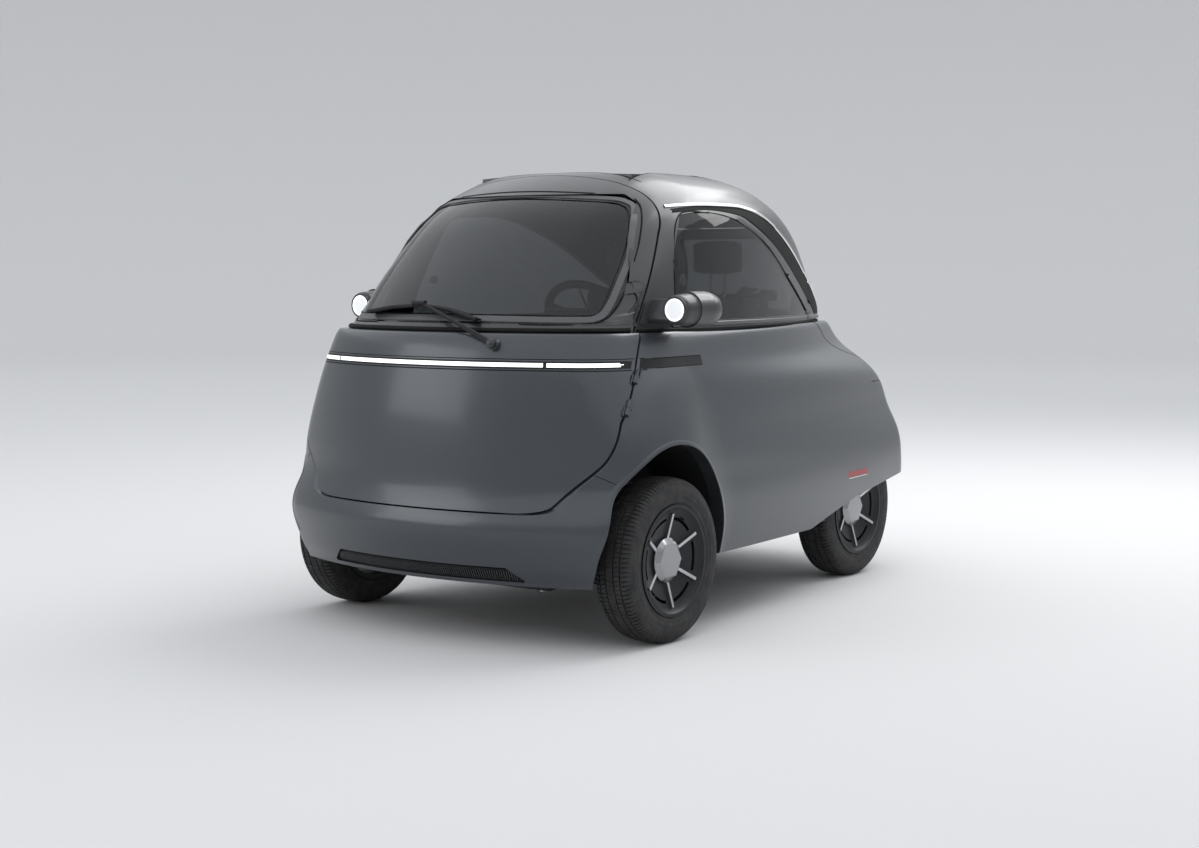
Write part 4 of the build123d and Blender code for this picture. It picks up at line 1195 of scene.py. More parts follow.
# ----------------------------------------------------------------- glazing
@dataclass
class Glazing:
    """Seals, surrounds and bright strips round the windows."""

    drape: Drape
    screen: tuple[Flat, ...] = ((0, 1433), (110, 1431), (220, 1426), (300, 1421),
        (365, 1416), (395, 1408), (418, 1398), (436, 1384), (452, 1362), (471, 1329), (495, 1264),
        (512, 1194), (521, 1131), (526, 1075), (524, 1040), (516, 1018), (500, 1006), (476, 1002),
        (377, 1002), (227, 1004), (0, 1005))
    back: tuple[Flat, ...] = ((-205, 1300), (205, 1300), (325, 1010), (-325, 1010))
    chrome: tuple[Flat, ...] = ((-524, 1379), (-400, 1388), (-280, 1392), (-150, 1393),
        (-21, 1390), (158, 1362), (357, 1284), (500, 1216), (616, 1153), (720, 1082), (803, 1008))
    pane: tuple[Flat, ...] = ((-602, 1010), (-574, 1150), (-560, 1215), (-470, 1352), (-280, 1366))
    under_chrome: tuple[Flat, ...] = ((-280, 1381), (-21, 1380), (158, 1353), (357, 1275), (616, 1144),
        (794, 1003))
    border_in: tuple[Flat, ...] = ((-90, 1346), (130, 1268), (331, 1153), (575, 1008))
    border_out: tuple[Flat, ...] = ((-60, 1360), (200, 1268), (454, 1141), (672, 1006))
    corner_in: tuple[Flat, ...] = ((-704, 1250), (-753, 1194), (-791, 1131), (-832, 1075), (-879, 1030),
        (-919, 1011), (-975, 1001))
    corner_out: tuple[Flat, ...] = ((-696, 1251), (-706, 1186), (-719, 1132), (-755, 1078), (-780, 1042),
        (-798, 1016), (-840, 998))
    gasket_in: tuple[Flat, ...] = ((-496, 1360), (-280, 1374), (-60, 1361), (40, 1334),
        (200, 1269), (454, 1142), (560, 1080), (672, 1006))
    gasket_out: tuple[Flat, ...] = ((-506, 1371), (-280, 1384), (-60, 1384), (90, 1367),
        (300, 1301), (585, 1159), (690, 1090), (788, 1006))
    heater_lines: int = 7

    def front(self, inset: float) -> list[Laid]:
        """The windscreen's border line on the surface, drawn in by inset millimetres."""
        whole = self.screen + tuple((-x, z) for x, z in reversed(self.screen[1:-1]))
        path = smooth_path([View.FRONT.start(x, z) for x, z in whole], 0.008, True)
        moved = []
        for i, p in enumerate(path):
            t = (path[(i + 1) % len(path)] - path[i - 1]).normalized()
            moved.append(p + Vector((-t.z, 0, t.x)) * (-inset * 0.001))
        return self.drape.lay(moved, View.FRONT.value, 0.02, 4)

    def patch(self, bm: bmesh.types.BMesh, a: Sequence[Flat], b: Sequence[Flat], height: float,
            count: int = 60, across: int = 5) -> None:
        """A raised patch on the left flank between two side-view paths.

        Args:
            bm: the mesh to add to.
            a: one edge.
            b: the other edge.
            height: how proud it stands, in millimetres.
            count: steps along.
            across: steps across.
        """
        way = View.LEFT.value
        edges = [smooth_path([View.LEFT.start(y, z) for y, z in path], 0.004) for path in (a, b)]
        rows = []
        for i in range(count + 1):
            p, q = (path[round(i / count * (len(path) - 1))] for path in edges)
            laid = self.drape.fair(
                self.drape.lay([p.lerp(q, k / across) for k in range(across + 1)], way, 0.05), way)
            top = [s + n * (height * 0.001) for s, n in laid]
            low = [s - n * 0.0015 for s, n in reversed(laid)]
            rows.append(top + low)
        add_grid(bm, rows)

    def build(self) -> None:
        """Make the trims of the windscreen, the side windows and the back window."""
        # grey band round the windscreen: the glass's dark border, given a lighter grey that is a painted
        # reflection
        with shaping("screen_surround", Body.DOOR, FRAME_GREY) as bm:
            add_ribbon(bm, self.front(14.5), strip(23.0, 3.2, 2.0, 1.6), True)
        with shaping("screen_seal", Body.DOOR, RUBBER_SEAL) as bm:
            add_ribbon(bm, self.front(0.0), strip(6.0, 1.6, 2.0), True)
            add_ribbon(bm, self.front(27.0), strip(2.5, 2.4, 1.0), True)
        with shaping("screen_corners", Body.DOOR, BODY_PAINT, mirrored=True) as bm:
            self.patch(bm, self.corner_in, self.corner_out, 1.3, 70, 6)
        with shaping("bright_strips", Body.ROOT, BRIGHT_TRIM, mirrored=True) as bm:
            add_ribbon(bm, self.drape.trace(View.LEFT, self.chrome, 0.014), strip(12.0, 4.5, 1.5, 2.2))
        with shaping("window_gaskets", Body.ROOT, RUBBER_SEAL, mirrored=True) as bm:
            self.patch(bm, self.gasket_in, self.gasket_out, 2.6)
        with shaping("pane_borders", Body.ROOT, FRAME_GREY, mirrored=True) as bm:
            self.patch(bm, self.border_in, self.border_out, 1.2)
        with shaping("pane_seals", Body.ROOT, RUBBER_SEAL, mirrored=True) as bm:
            add_ribbon(bm, self.drape.trace(View.LEFT, self.pane, 0.014), strip(5.0, 1.8, 2.0))
            add_ribbon(bm, self.drape.trace(View.LEFT, self.under_chrome, 0.02), strip(3.0, 3.4, 1.5))
        # latch inside each side window
        with shaping("window_latches", Body.ROOT, SATIN_SILVER) as bm:
            for s in LEFT_AND_RIGHT:
                spot, normal = self.drape.trace(View.LEFT, [(-505, 1139)])[0]
                spot.x, normal = s * (spot.x - 0.010), Vector((s * normal.x, normal.y, normal.z))
                add_lathe(bm, ((-10, 0), (-10, 16), (-3, 19), (0, 19), (2, 14), (2, 0)), aim(spot, normal),
                    24)
        with shaping("back_window_seal", Body.HATCH, RUBBER_SEAL) as bm:
            laid = self.drape.trace(View.BACK, rounded(self.back, (45, 45, 50, 50), 3.0), 0.014, True)
            add_ribbon(bm, laid, strip(13.0, 3.0, 2.0), True)
        for k in range(self.heater_lines):
            z = 1046 + 34 * k
            half = 250 - (z - 1010) * 0.36
            laid = self.drape.trace(View.BACK, [(half * (i / 12 - 1), z) for i in range(25)])
            Repeater.row(f"heater_line_{k}", Body.HATCH, [(p + n * 0.0004, n) for p, n in laid], 25,
                (half / 12 * 1.05, 1.6, 0.5), SATIN_SILVER)


@dataclass
class BeltLine:
    """The band where the glasshouse stands on the lower body."""

    drape: Drape
    level: float = 983.0
    seam_y: float = -818.0

    def around_nose(self, z: float, half: float, step: int = 64) -> list[Laid]:
        """Points round the nose at one height.

        Args:
            z: height in millimetres.
            half: half angle from the middle in degrees.
            step: number of steps.

        Returns:
            (point, normal) pairs.
        """
        mid = mm(0, -700, z)
        out = []
        for i in range(step + 1):
            a = radians(half * (2 * i / step - 1))
            way = Vector((sin(a), -cos(a), 0))
            out += self.drape.lay([mid + way * 2.0], -way)
        return out

    def flank(self, y0: float, y1: float, z: float) -> list[Laid]:
        """Points along the left flank at one height."""
        steps = max(2, round(abs(y1 - y0) / 16))
        return self.drape.trace(View.LEFT, [(y, z) for y in spaced(y0, y1, steps)])

    def build(self) -> None:
        """Rubber band on the door and the flanks, and the grey moulding above it; on the door the band also
        stands for the shade in the ledge.
        """
        # black band filling the ledge under the windscreen: a rubber seal and painted shade of the ledge's
        # crease
        with shaping("scuttle_band", Body.DOOR, RUBBER_SEAL) as bm:
            add_ribbon(bm, self.around_nose(self.level, 76.5), strip(15.0, 8.0, 2.0, 3.0))
        with shaping("belt_rubbers", Body.ROOT, RUBBER_SEAL, mirrored=True) as bm:
            add_ribbon(bm, self.flank(self.seam_y + 14, 860, 980), strip(9.0, 7.0, 2.0, 2.0))
        with shaping("belt_mouldings", Body.ROOT, FRAME_GREY, mirrored=True) as bm:
            add_ribbon(bm, self.flank(-625, 806, 995), strip(17.0, 6.5, 2.0, 2.5),
                widths=lambda t: 1.0 - 0.35 * t)


# ------------------------------------------------------------------- lamps
@dataclass
class Lamps:
    """Light bar, side lamps, reflectors and tail lights."""

    belt: BeltLine
    bar_z: float = 880.5
    bar_height: float = 12.5
    breaks: tuple[float, ...] = (-609.0, -436.0, -425.0, 425.0, 436.0, 609.0)
    pod: Point = (672.0, -746.0, 1047.0)
    mirror_y: float = -548.0

    def segment(self, x0: float, x1: float, z: float) -> list[Laid]:
        """The nose surface between two x positions."""
        laid = self.belt.around_nose(z, 79.0, 220)
        kept = [(p, n) for p, n in laid if x0 < p.x * 1000 < x1]
        ends = []
        for x, (p, n), (q, _) in ((x0, kept[0], kept[1]), (x1, kept[-1], kept[-2])):
            t = (x * 0.001 - p.x) / (p.x - q.x)
            ends.append((p + (p - q) * t, n))
        return [ends[0]] + kept + [ends[1]]

    def rings(self, name: str, finish: Finish, y: float, way: int, profile: Sequence[Flat],
            count: int = 48) -> None:
        """A ring on each pod, turned about a line along the car.

        Args:
            name: the piece's name.
            finish: its finish.
            y: where the profile's nought lies, in millimetres.
            way: -1 to face forwards, 1 to face back.
            profile: its section as (along, radius).
            count: steps round it.
        """
        with shaping(name, Body.ROOT, finish) as bm:
            for s in LEFT_AND_RIGHT:
                add_lathe(bm, profile, aim(mm(s * self.pod[0], y, self.pod[2]), (0, way, 0)), count, True)

    def build(self) -> None:
        """Dress every lamp."""
        drape = self.belt.drape
        with shaping("light_bar_glow", Body.DOOR, LAMP_WHITE) as bm:
            for x0, x1 in zip(self.breaks[::2], self.breaks[1::2]):
                add_ribbon(bm, self.segment(x0, x1, self.bar_z), strip(self.bar_height, 1.7, 1.0, 0.6))
        with shaping("bar_grooves", Body.DOOR, RUBBER_SEAL) as bm:
            for z, wide in ((863.5, 3.6), (898.0, 2.6)):
                add_ribbon(bm, self.belt.around_nose(z, 77.5, 150), strip(wide, 0.35, 1.0, 0.2))
        self.rings("lamp_rings", DARK_TRIM, self.pod[1], -1,
            ((-4, 36.2), (1.5, 36.2), (3.0, 38), (3.0, 41), (0.5, 43.5), (-4, 43.5)))
        self.rings("lamp_glow_rings", LAMP_WHITE, self.pod[1], -1,
            ((-1, 28.5), (1.6, 28.5), (2.4, 30), (2.4, 34), (1.6, 35.6), (-1, 35.6)))
        self.rings("mirror_rims", BLACK_PLASTIC, self.mirror_y, 1,
            ((-4, 46.2), (1.2, 46.2), (1.8, 47.5), (0.6, 49.6), (-4, 49.6)), 40)
        # dark fairing where the pillar foot meets the pod, split at the door's seam
        glaze = Glazing(drape)
        with shaping("pillar_fairings", Body.DOOR, DARK_TRIM, mirrored=True) as bm:
            glaze.patch(bm, ((-812, 994), (-806, 1016), (-795, 1044), (-770, 1063)),
                ((-804, 991), (-793, 1014), (-773, 1042), (-761, 1060)), 3.0, 16, 3)
        with shaping("pod_fairings", Body.ROOT, DARK_TRIM, mirrored=True) as bm:
            glaze.patch(bm, ((-786, 1004), (-766, 1038), (-750, 1064), (-738, 1073)),
                ((-748, 999), (-732, 1040), (-712, 1070), (-700, 1078)), 3.0, 16, 4)
        # reflectors sit in bright-edged slots
        with shaping("reflector_sills", Body.ROOT, BRIGHT_TRIM, mirrored=True) as bm:
            laid = drape.trace(View.LEFT, [(y, 399.0) for y in range(530, 716, 12)], jump=0.03)
            add_ribbon(bm, laid, strip(3.0, 2.2, 1.0, 0.8))
        # dark lines along the top and bottom of each side strip: painted shade at its edges
        with shaping("strip_edges", Body.ROOT, RUBBER_SEAL, mirrored=True) as bm:
            for z in (866.5, 896.5):
                add_ribbon(bm, self.belt.flank(-794, -514, z), strip(3.0, 0.5, 1.0, 0.3))
        with shaping("tail_light_lenses", Body.HATCH, LAMP_RED) as bm:
            for x0, x1 in ((-322, -118), (118, 322)):
                laid = drape.trace(View.BACK, [(x, 784) for x in spaced(x0, x1, 14)])
                add_ribbon(bm, laid, strip(16.0, 1.2, 1.0, 0.6),
                    widths=lambda t: min(1.0, 0.5 + 12 * min(t, 1 - t)))
        with shaping("high_brake_lamp", Body.HATCH, LAMP_RED) as bm:
            laid = drape.trace(View.BACK, [(x, 1324) for x in spaced(-60, 60, 8)])
            add_ribbon(bm, laid, strip(9.0, 3.0, 1.0, 1.0))


# ------------------------------------------------------------------- nose
@dataclass
class Nose:
    """Lower grille and wiper."""

    drape: Drape
    slats: int = 92
    slat: Point = (3.2, 37.0, 9.0)
    arm: tuple[Point, ...] = ((258, -1152, 948), (204, -1148, 970), (150, -1143, 992), (60, -1120, 1021))
    blade: tuple[Point, ...] = ((-358, -1040, 1035), (-225, -1064, 1052), (-90, -1081, 1060),
        (40, -1090, 1046), (158, -1098, 1016))

    def build(self) -> None:
        """Make the slats, the grille's rim and the wiper's details."""
        grille = Drape(("front_grille",))
        laid = grille.trace(View.FRONT, [(x, 235) for x in spaced(-372, 372, 40)])
        Repeater.row("grille_slats", Body.ROOT, [(p + n * 0.003, n) for p, n in laid], self.slats,
            self.slat, DARK_TRIM)
        with shaping("grille_rim", Body.ROOT, BLACK_PLASTIC) as bm:
            outline = rounded(((-408, 213), (408, 213), (350, 258), (-350, 258)), (5, 5, 9, 9), 6.0)
            add_ribbon(bm, grille.trace(View.FRONT, outline, 0.012, True), strip(7.0, 7.0, 1.0, 1.5), True)
        # wiper: pivot cap, arm cover, blade rubber and clip
        with shaping("wiper_cap", Body.DOOR, DARK_TRIM) as bm:
            add_lathe(bm, ((0, 16), (6, 16), (12, 12.5), (15, 7), (15.5, 0)),
                aim(mm(260, -1148, 944), (0, -0.98, 0.2)), 28)
            add_lathe(bm, ((-14, 20), (-2, 18), (0, 13)), aim(mm(260, -1142, 943), (0, -0.98, 0.2)), 28)
        arm = smooth_path([mm(*p) for p in self.arm], 0.012)
        rows = []
        for i, p in enumerate(arm):
            t = i / (len(arm) - 1)
            way = (arm[min(i + 1, len(arm) - 1)] - arm[max(i - 1, 0)]).normalized()
            out = Vector((0, -0.94, 0.34))
            side, k = way.cross(out).normalized(), 1.0 - 0.45 * t
            rows.append([p + side * (u * k * 0.001) + out * (v * k * 0.001) for u, v in
                ((-9, -6), (9, -6), (10, 2), (6, 8), (-6, 8), (-10, 2))])
        with shaping("wiper_arm_cover", Body.DOOR, BLACK_PLASTIC, 40.0) as bm:
            add_grid(bm, rows)
        path = smooth_path([mm(*p) for p in self.blade], 0.02)
        near = self.drape.lay([Vector((p.x, -2.0, p.z)) for p in path], View.FRONT.value)
        up, rows = Vector((0, 0, 0.0045)), []
        for p, (q, n) in zip(path, near):
            rows.append([p + up, p - up, q + n * 0.001 - up * 0.2, q + n * 0.001 + up * 0.2])
        with shaping("wiper_rubber", Body.DOOR, RUBBER_SEAL) as bm:
            add_grid(bm, rows)
        with shaping("wiper_clip", Body.DOOR, BLACK_PLASTIC) as bm:
            add_tube(bm, [mm(-60, -1090, 1066), mm(-118, -1085, 1066)], 0.0085, 12)


@dataclass
class HingePockets:
    """Quarter-round fillers that close the pockets beside the door's knuckles."""

    foot: Point = (662.5, -1003.6, 704.6)
    head: Point = (637.0, -889.0, 875.6)
    outwards: Point = (0.86, -0.50, 0.08)
    starts: tuple[float, ...] = (30.0, 145.0)
    knuckle: float = 26.0
    radii: Flat = (9.9, 14.7)

    def build(self) -> None:
        """Fill the door's side beside body knuckles, and the body's side beside door knuckles."""
        a, b = mm(*self.foot), mm(*self.head)
        way = (b - a).normalized()
        out = Vector(self.outwards)
        out = (out - way * way.dot(out)).normalized()
        inner, outer = self.radii
        for name, body, lo, hi, side in (
                ("door_hinge_fillers", Body.DOOR, -5.5, self.knuckle + 0.2, -1.0),
                ("body_hinge_fillers", Body.ROOT, self.knuckle + 0.8, 2 * self.knuckle + 6.5, 1.0)):
            across = way.cross(out) * side
            with shaping(name, body, BODY_PAINT) as bm:
                for start in self.starts:
                    rows = []
                    for k in range(9):
                        turn = radians(-4 + 14 * k)
                        ray = (across * cos(turn) - out * sin(turn))
                        rows.append([a + way * ((start + t) * 0.001) + ray * (r * 0.001) for t, r in
                            ((lo, inner), (hi, inner), (hi, outer), (lo, outer))])
                    add_grid(bm, rows)


@dataclass
class ArchLips:
    """Rolled edges of the front wheel openings."""

    drape: Drape
    mid: Flat = (-785.0, 312.0)
    radius: float = 324.0

    def build(self) -> None:
        """Lay a raised lip round each opening."""
        y, z = self.mid
        arc = [(y + self.radius * cos(radians(a)), z + self.radius * sin(radians(a)))
            for a in range(-14, 186, 3)]
        with shaping("arch_lips", Body.ROOT, BODY_PAINT, mirrored=True) as bm:
            add_ribbon(bm, self.drape.trace(View.LEFT, arc, jump=0.03),
                ((-8, -2), (8, -2), (8, 0.2), (2, 1.4), (-4, 2.6), (-8, 2.2)))


# ------------------------------------------------------------------ wheels
@dataclass
class Wheels:
    """Tyres with tread, and what shows inside the wheels."""

    centres: dict[str, Point] = field(
        default_factory=lambda: {"fl": (636.0, -785.0, 262.6), "fr": (-636.0, -785.0, 262.6),
            "rl": (444.0, 758.0, 262.6), "rr": (-444.0, 758.0, 262.6)})
    tread_radius: float = 262.6
    groove_from: float = 0.2405
    valve_turn: float = 64.0
    pitches: int = 112
    wall: tuple[Flat, ...] = ((44, 168.5), (58, 168.5), (62, 178), (65.5, 184),
        (67.2, 187), (66.2, 190), (67.0, 196), (68.0, 203), (68.9, 205), (68.3, 207), (69.0, 214),
        (68.8, 222), (68.0, 229), (67.2, 230.5), (66.8, 233), (64.2, 240), (60.5, 246), (54, 251),
        (44, 254), (26, 256), (0, 256.6))
    shoulder: tuple[Flat, ...] = ((40, 259.9), (48, 258.4), (55, 255.2), (60.4, 250.2),
        (63.6, 244), (65.6, 237.5))

    def carcass(self) -> bmesh.types.BMesh:
        """Tyre body as a closed ring about X at the origin."""
        half = list(self.wall)
        inner = [(57, 214), (52, 238), (40, 245), (0, 246)]
        outer = half + [(-x, r) for x, r in reversed(half[:-1])]
        profile = outer + [(-x, r) for x, r in inner[:-1]] + [(x, r) for x, r in reversed(inner)]
        bm = bmesh.new()
        add_lathe(bm, profile, aim(Vector((0, 0, 0)), (1, 0, 0)), 120, True)
        return bm

    def pitch(self, side: float) -> bmesh.types.BMesh:
        """One step of tread at the top of the tyre."""
        bm = bmesh.new()
        step = 2 * pi * self.tread_radius / self.pitches

        def block(profile: Sequence[Flat], depth: float, fill: float, slant: float) -> None:
            """A block whose top follows a profile across the tyre.

            Args:
                profile: (across, radius) of its top.
                depth: how deep it stands in the tyre.
                fill: its share of the step round the tyre.
                slant: how far it leans round the tyre for each millimetre across.
            """
            rows = []
            for t in (-0.5, 0.5):
                y = t * step * fill
                top, low = ([mm(side * x, y + slant * (x - profile[0][0]), r - sunk) for x, r in profile]
                    for sunk in (0.25, depth))
                rows.append(top + low[::-1])
            add_grid(bm, rows)

        block(self.shoulder, 5.0, 0.72, 0.10)
        block([(-x, r) for x, r in self.shoulder], 5.0, 0.72, 0.10)
        block(((17, 262.2), (26, 261.6), (36, 260.5)), 6.5, 0.86, 0.16)
        block(((-36, 260.5), (-26, 261.6), (-17, 262.2)), 6.5, 0.86, 0.16)
        block(((-13, 262.4), (0, 262.6), (13, 262.4)), 6.5, 0.93, -0.12)
        bmesh.ops.recalc_face_normals(bm, faces=bm.faces)
        return bm

    @staticmethod
    def cap(place: Matrix) -> bmesh.types.BMesh:
        """Blank hub cap: a round foot bevelled to a six-sided face."""
        bm = bmesh.new()
        rows = []
        for i in range(72):
            turn = 2 * pi * i / 72
            top = 61.0 * cos(pi / 6) / cos(turn % (pi / 3) - pi / 6)
            ring = ((29.6, 0), (29.6, 72), (38, 72), (39.5, 71), (50.2, top), (51.4, top - 2.5),
                (52.4, 24), (52.6, 0))
            rows.append([place @ mm(r * cos(turn), r * sin(turn), x) for x, r in ring])
        add_grid(bm, rows, True, False, False)
        bmesh.ops.remove_doubles(bm, verts=bm.verts, dist=SAME_POINT)
        return bm

    def build(self) -> None:
        """Make all four wheels' tyres, drums and valves."""
        for key, centre in self.centres.items():
            side = 1.0 if centre[0] > 0 else -1.0
            body, spot = "wheel_" + key, Matrix.Translation(mm(*centre))
            bm = self.carcass()
            bmesh.ops.recalc_face_normals(bm, faces=bm.faces)
            # outward faces under the tread take the near-black groove finish: painted shade between the
            # blocks
            for face in bm.faces:
                mid = face.calc_center_median()
                face.material_index = int(mid.yz.length > self.groove_from and face.normal.dot(mid) > 0)
            bm.transform(spot)
            obj = piece("tyre_wall_" + key, body, bm, TYRE, 50.0)
            obj.data.materials.append(TYRE_GROOVE_SHADE.material())
            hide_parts("tyre_" + key)
            tread = bare_object("tread_" + key, self.pitch(side))
            Repeater.bake(tread, Repeater.around(), Count=self.pitches, Centre=tuple(mm(*centre)),
                Unevenness=0.05, Seed=11, Material=TYRE.material())
            ride(tread, body)
            place = spot @ aim(Vector((0, 0, 0)), (side, 0, 0))
            with shaping("brake_drum_" + key, body, CAST_ALLOY) as bm:
                add_lathe(bm, ((-34, 0), (-34, 112), (-30, 118), (8, 118), (12, 112), (14, 60), (14, 0)),
                    place, 48)
            piece("cap_face_" + key, body, self.cap(place), CAP_SILVER, 20.0)
            a = radians(self.valve_turn)
            foot = spot @ mm(side * 49, 141 * cos(a), 141 * sin(a))
            with shaping("valve_" + key, body, BLACK_PLASTIC) as bm:
                add_tube(bm, [foot, foot + mm(side * 13, -5 * cos(a), -5 * sin(a))], 0.0032, 12)


# ------------------------------------------------------------ running gear
@dataclass
class RunningGear:
    """Springs, boots, fins and fixings under the car."""

    axle_y: float = -785.0
    rear_y: float = 758.0

    @staticmethod
    def coil(mid: Vector, low: float, high: float, radius: float, turns: float,
            wire: float) -> bmesh.types.BMesh:
        """A vertical coil spring, sizes in millimetres."""
        bm = bmesh.new()
        count = round(turns * 22)
        path = [mid + mm(radius * cos(2 * pi * turns * i / count), radius * sin(2 * pi * turns * i / count),
                         low + (high - low) * i / count) for i in range(count + 1)]
        add_tube(bm, path, wire * 0.001, 10)
        return bm

    def build(self) -> None:
        """Make the springs, rack boots, motor fins and small fixings."""
        for end, x, y, low, high, radius, turns, finish in (
                ("front", 492, self.axle_y, 314, 552, 34, 6.5, STEEL),
                ("rear", 300, self.rear_y, 334, 410, 36, 3.5, SATIN_SILVER)):
            for hand, s in zip("lr", LEFT_AND_RIGHT):
                spring = self.coil(mm(s * x, y, 0), low, high, radius, turns, 5.0)
                piece(f"{end}_spring_{hand}", Body.ROOT, spring, finish)
        with shaping("rack_boots", Body.ROOT, BLACK_PLASTIC) as bm:
            folds = [(4 + 7 * i, 23 if i % 2 else 18) for i in range(11)]
            for s in LEFT_AND_RIGHT:
                add_lathe(bm, [(0, 17)] + folds + [(80, 14), (80, 0)],
                    aim(mm(s * 290, self.axle_y + 92, 216), (s, 0, 0)), 28)
        with shaping("motor_fins", Body.ROOT, CAST_ALLOY) as bm:
            for i in range(9):
                add_lathe(bm, ((0, 92), (0, 97), (5, 97), (5, 92)),
                    aim(mm(-120 + 24 * i, self.rear_y - 20, 252.6), (1, 0, 0)), 48, True)
        with shaping("floor_ribs", Body.ROOT, CHASSIS_BLACK) as bm:
            for y0 in range(-420, 421, 210):
                add_box(bm, (-430, y0 - 14, 240), (430, y0 + 14, 246.5), 2.0)
        with shaping("subframe_bolts", Body.ROOT, STEEL) as bm:
            for s in LEFT_AND_RIGHT:
                for y in (self.axle_y - 130, self.axle_y + 130):
                    add_lathe(bm, ((-7, 0), (-7, 9), (0, 9)), aim(mm(s * 278, y, 148), (0, 0, 1)), 6)
        # rubber bushes at the arms' ends
        with shaping("arm_bushes", Body.ROOT, BLACK_PLASTIC) as bm:
            for s in LEFT_AND_RIGHT:
                for y in (self.axle_y - 145, self.axle_y + 145):
                    add_lathe(bm, ((-5, 8), (-5, 16), (5, 16), (5, 8)),
                        aim(mm(s * 330, y, 190), (0, 1, 0)), 24, True)


# ------------------------------------------------------------------- cabin
@dataclass
class Cabin:
    """Steering wheel, display, pedals, mats, belts and door pull."""

    mid: Point = (245.0, -590.0, 990.0)
    tilt: float = 35.0
    belt: tuple[Point, ...] = ((372, 318, 1096), (352, 246, 1104), (335, 178, 1080), (270, 138, 930),
        (190, 112, 760), (90, 92, 600), (52, 96, 552))
    pull: tuple[Point, ...] = ((-150, -872, 905), (-150, -846, 880), (-60, -838, 876), (60, -838, 876),
        (150, -846, 880), (150, -872, 905))

    def column(self, t: float, up: float = 0.0) -> Vector:
        """Point t below the wheel centre along the column, up above its line."""
        a = radians(self.tilt)
        return mm(self.mid[0], self.mid[1] - t * cos(a) - up * sin(a), self.mid[2] - t * sin(a) + up * cos(a))

    def build(self) -> None:
        """Make the cabin's details."""
        a = radians(self.tilt)
        axis, rise = Vector((0, cos(a), sin(a))), Vector((0, -sin(a), cos(a)))
        self.wheel(aim(self.column(8), axis, rise))
        with shaping("display_glass", Body.ROOT, SCREEN_FACE) as bm:
            add_box(bm, (-80, -36, 8.1), (80, 36, 9.2), 0.4, aim(self.column(96, 92), axis, rise))
        with shaping("column_stalks", Body.ROOT, BLACK_PLASTIC) as bm:
            for s in LEFT_AND_RIGHT:
                p = self.column(66) + mm(s * 20, 0, 0)
                add_tube(bm, [p, p + mm(s * 110, -12, 14)], 0.0065, 12)
        with shaping("column_boot", Body.ROOT, BLACK_PLASTIC, 40.0) as bm:
            folds = [(310 + 9 * i, 42 - 1.2 * i + (5 if i % 2 else 0)) for i in range(11)]
            add_lathe(bm, folds + [(420, 26.5)], aim(mm(self.mid[0], -752, 0), (0, 0, 1)), 32)
        with shaping("pedal_rubbers", Body.ROOT, BLACK_PLASTIC) as bm:
            for x in (185, 315):
                add_box(bm, (x - 28, -892.8, 402), (x + 28, -887, 468), 1.5)
                for k in range(5):
                    add_box(bm, (x - 24, -887.5, 408 + 12 * k), (x + 24, -884.5, 413 + 12 * k), 0.8)
        with shaping("floor_mats", Body.ROOT, FLOOR_MAT) as bm:
            add_box(bm, (-330, -1010, 272.2), (170, -300, 277), 1.5)
            add_box(bm, (320, -480, 272.2), (500, -300, 277), 1.5)
        self.belts()
        with shaping("door_pull", Body.DOOR, SATIN_SILVER) as bm:
            add_tube(bm, smooth_path([mm(*p) for p in self.pull], 0.012), 0.009, 12)

    def wheel(self, hub: Matrix) -> None:
        """Horn pad, spoke trims and stitches of the steering wheel, placed by its hub."""
        with shaping("horn_pad", Body.WHEEL, DARK_TRIM) as bm:
            add_lathe(bm, ((17, 0), (17, 33), (24, 30), (27, 22), (28, 0)), hub, 36)
        with shaping("spoke_trims", Body.WHEEL, SATIN_SILVER) as bm:
            for deg in (90, 210, 330):
                turn = hub @ Matrix.Rotation(radians(deg - 90), 4, "Z")
                add_box(bm, (-5, 56, 6.2), (5, 150, 8.6), 1.0, turn)
        ring = [hub @ mm(172 * cos(2 * pi * i / 90), 172 * sin(2 * pi * i / 90), 13.8) for i in range(91)]
        Repeater.row("wheel_stitches", Body.WHEEL,
            [(p, (p - (hub @ mm(0, 0, 0))).normalized()) for p in ring], 150, (6.0, 1.6, 1.6), SEAT_EDGE)

    def belts(self) -> None:
        """Belts that lie on the backrest and run down to their buckles."""
        over, out = Vector((0, -0.3, 0.95)), Vector((0, -0.985, 0.17))
        with shaping("seat_belts", Body.ROOT, BELT_WEB) as bm:
            for s in LEFT_AND_RIGHT:
                path = smooth_path([mm(s * x, y, z) for x, y, z in self.belt], 0.02)
                laid = [(p, over if p.y > 0.23 else out) for p in path]
                add_ribbon(bm, laid, strip(46.0, 1.6, 0.4, 0.4))
        with shaping("belt_buckles", Body.ROOT, BLACK_PLASTIC) as bm:
            for s in LEFT_AND_RIGHT:
                add_box(bm, (s * 52 - 13, 66, 541), (s * 52 + 13, 90, 604), 4.0)
                add_box(bm, (s * 372 - 30, 300, 1060), (s * 372 + 30, 326, 1100), 6.0)


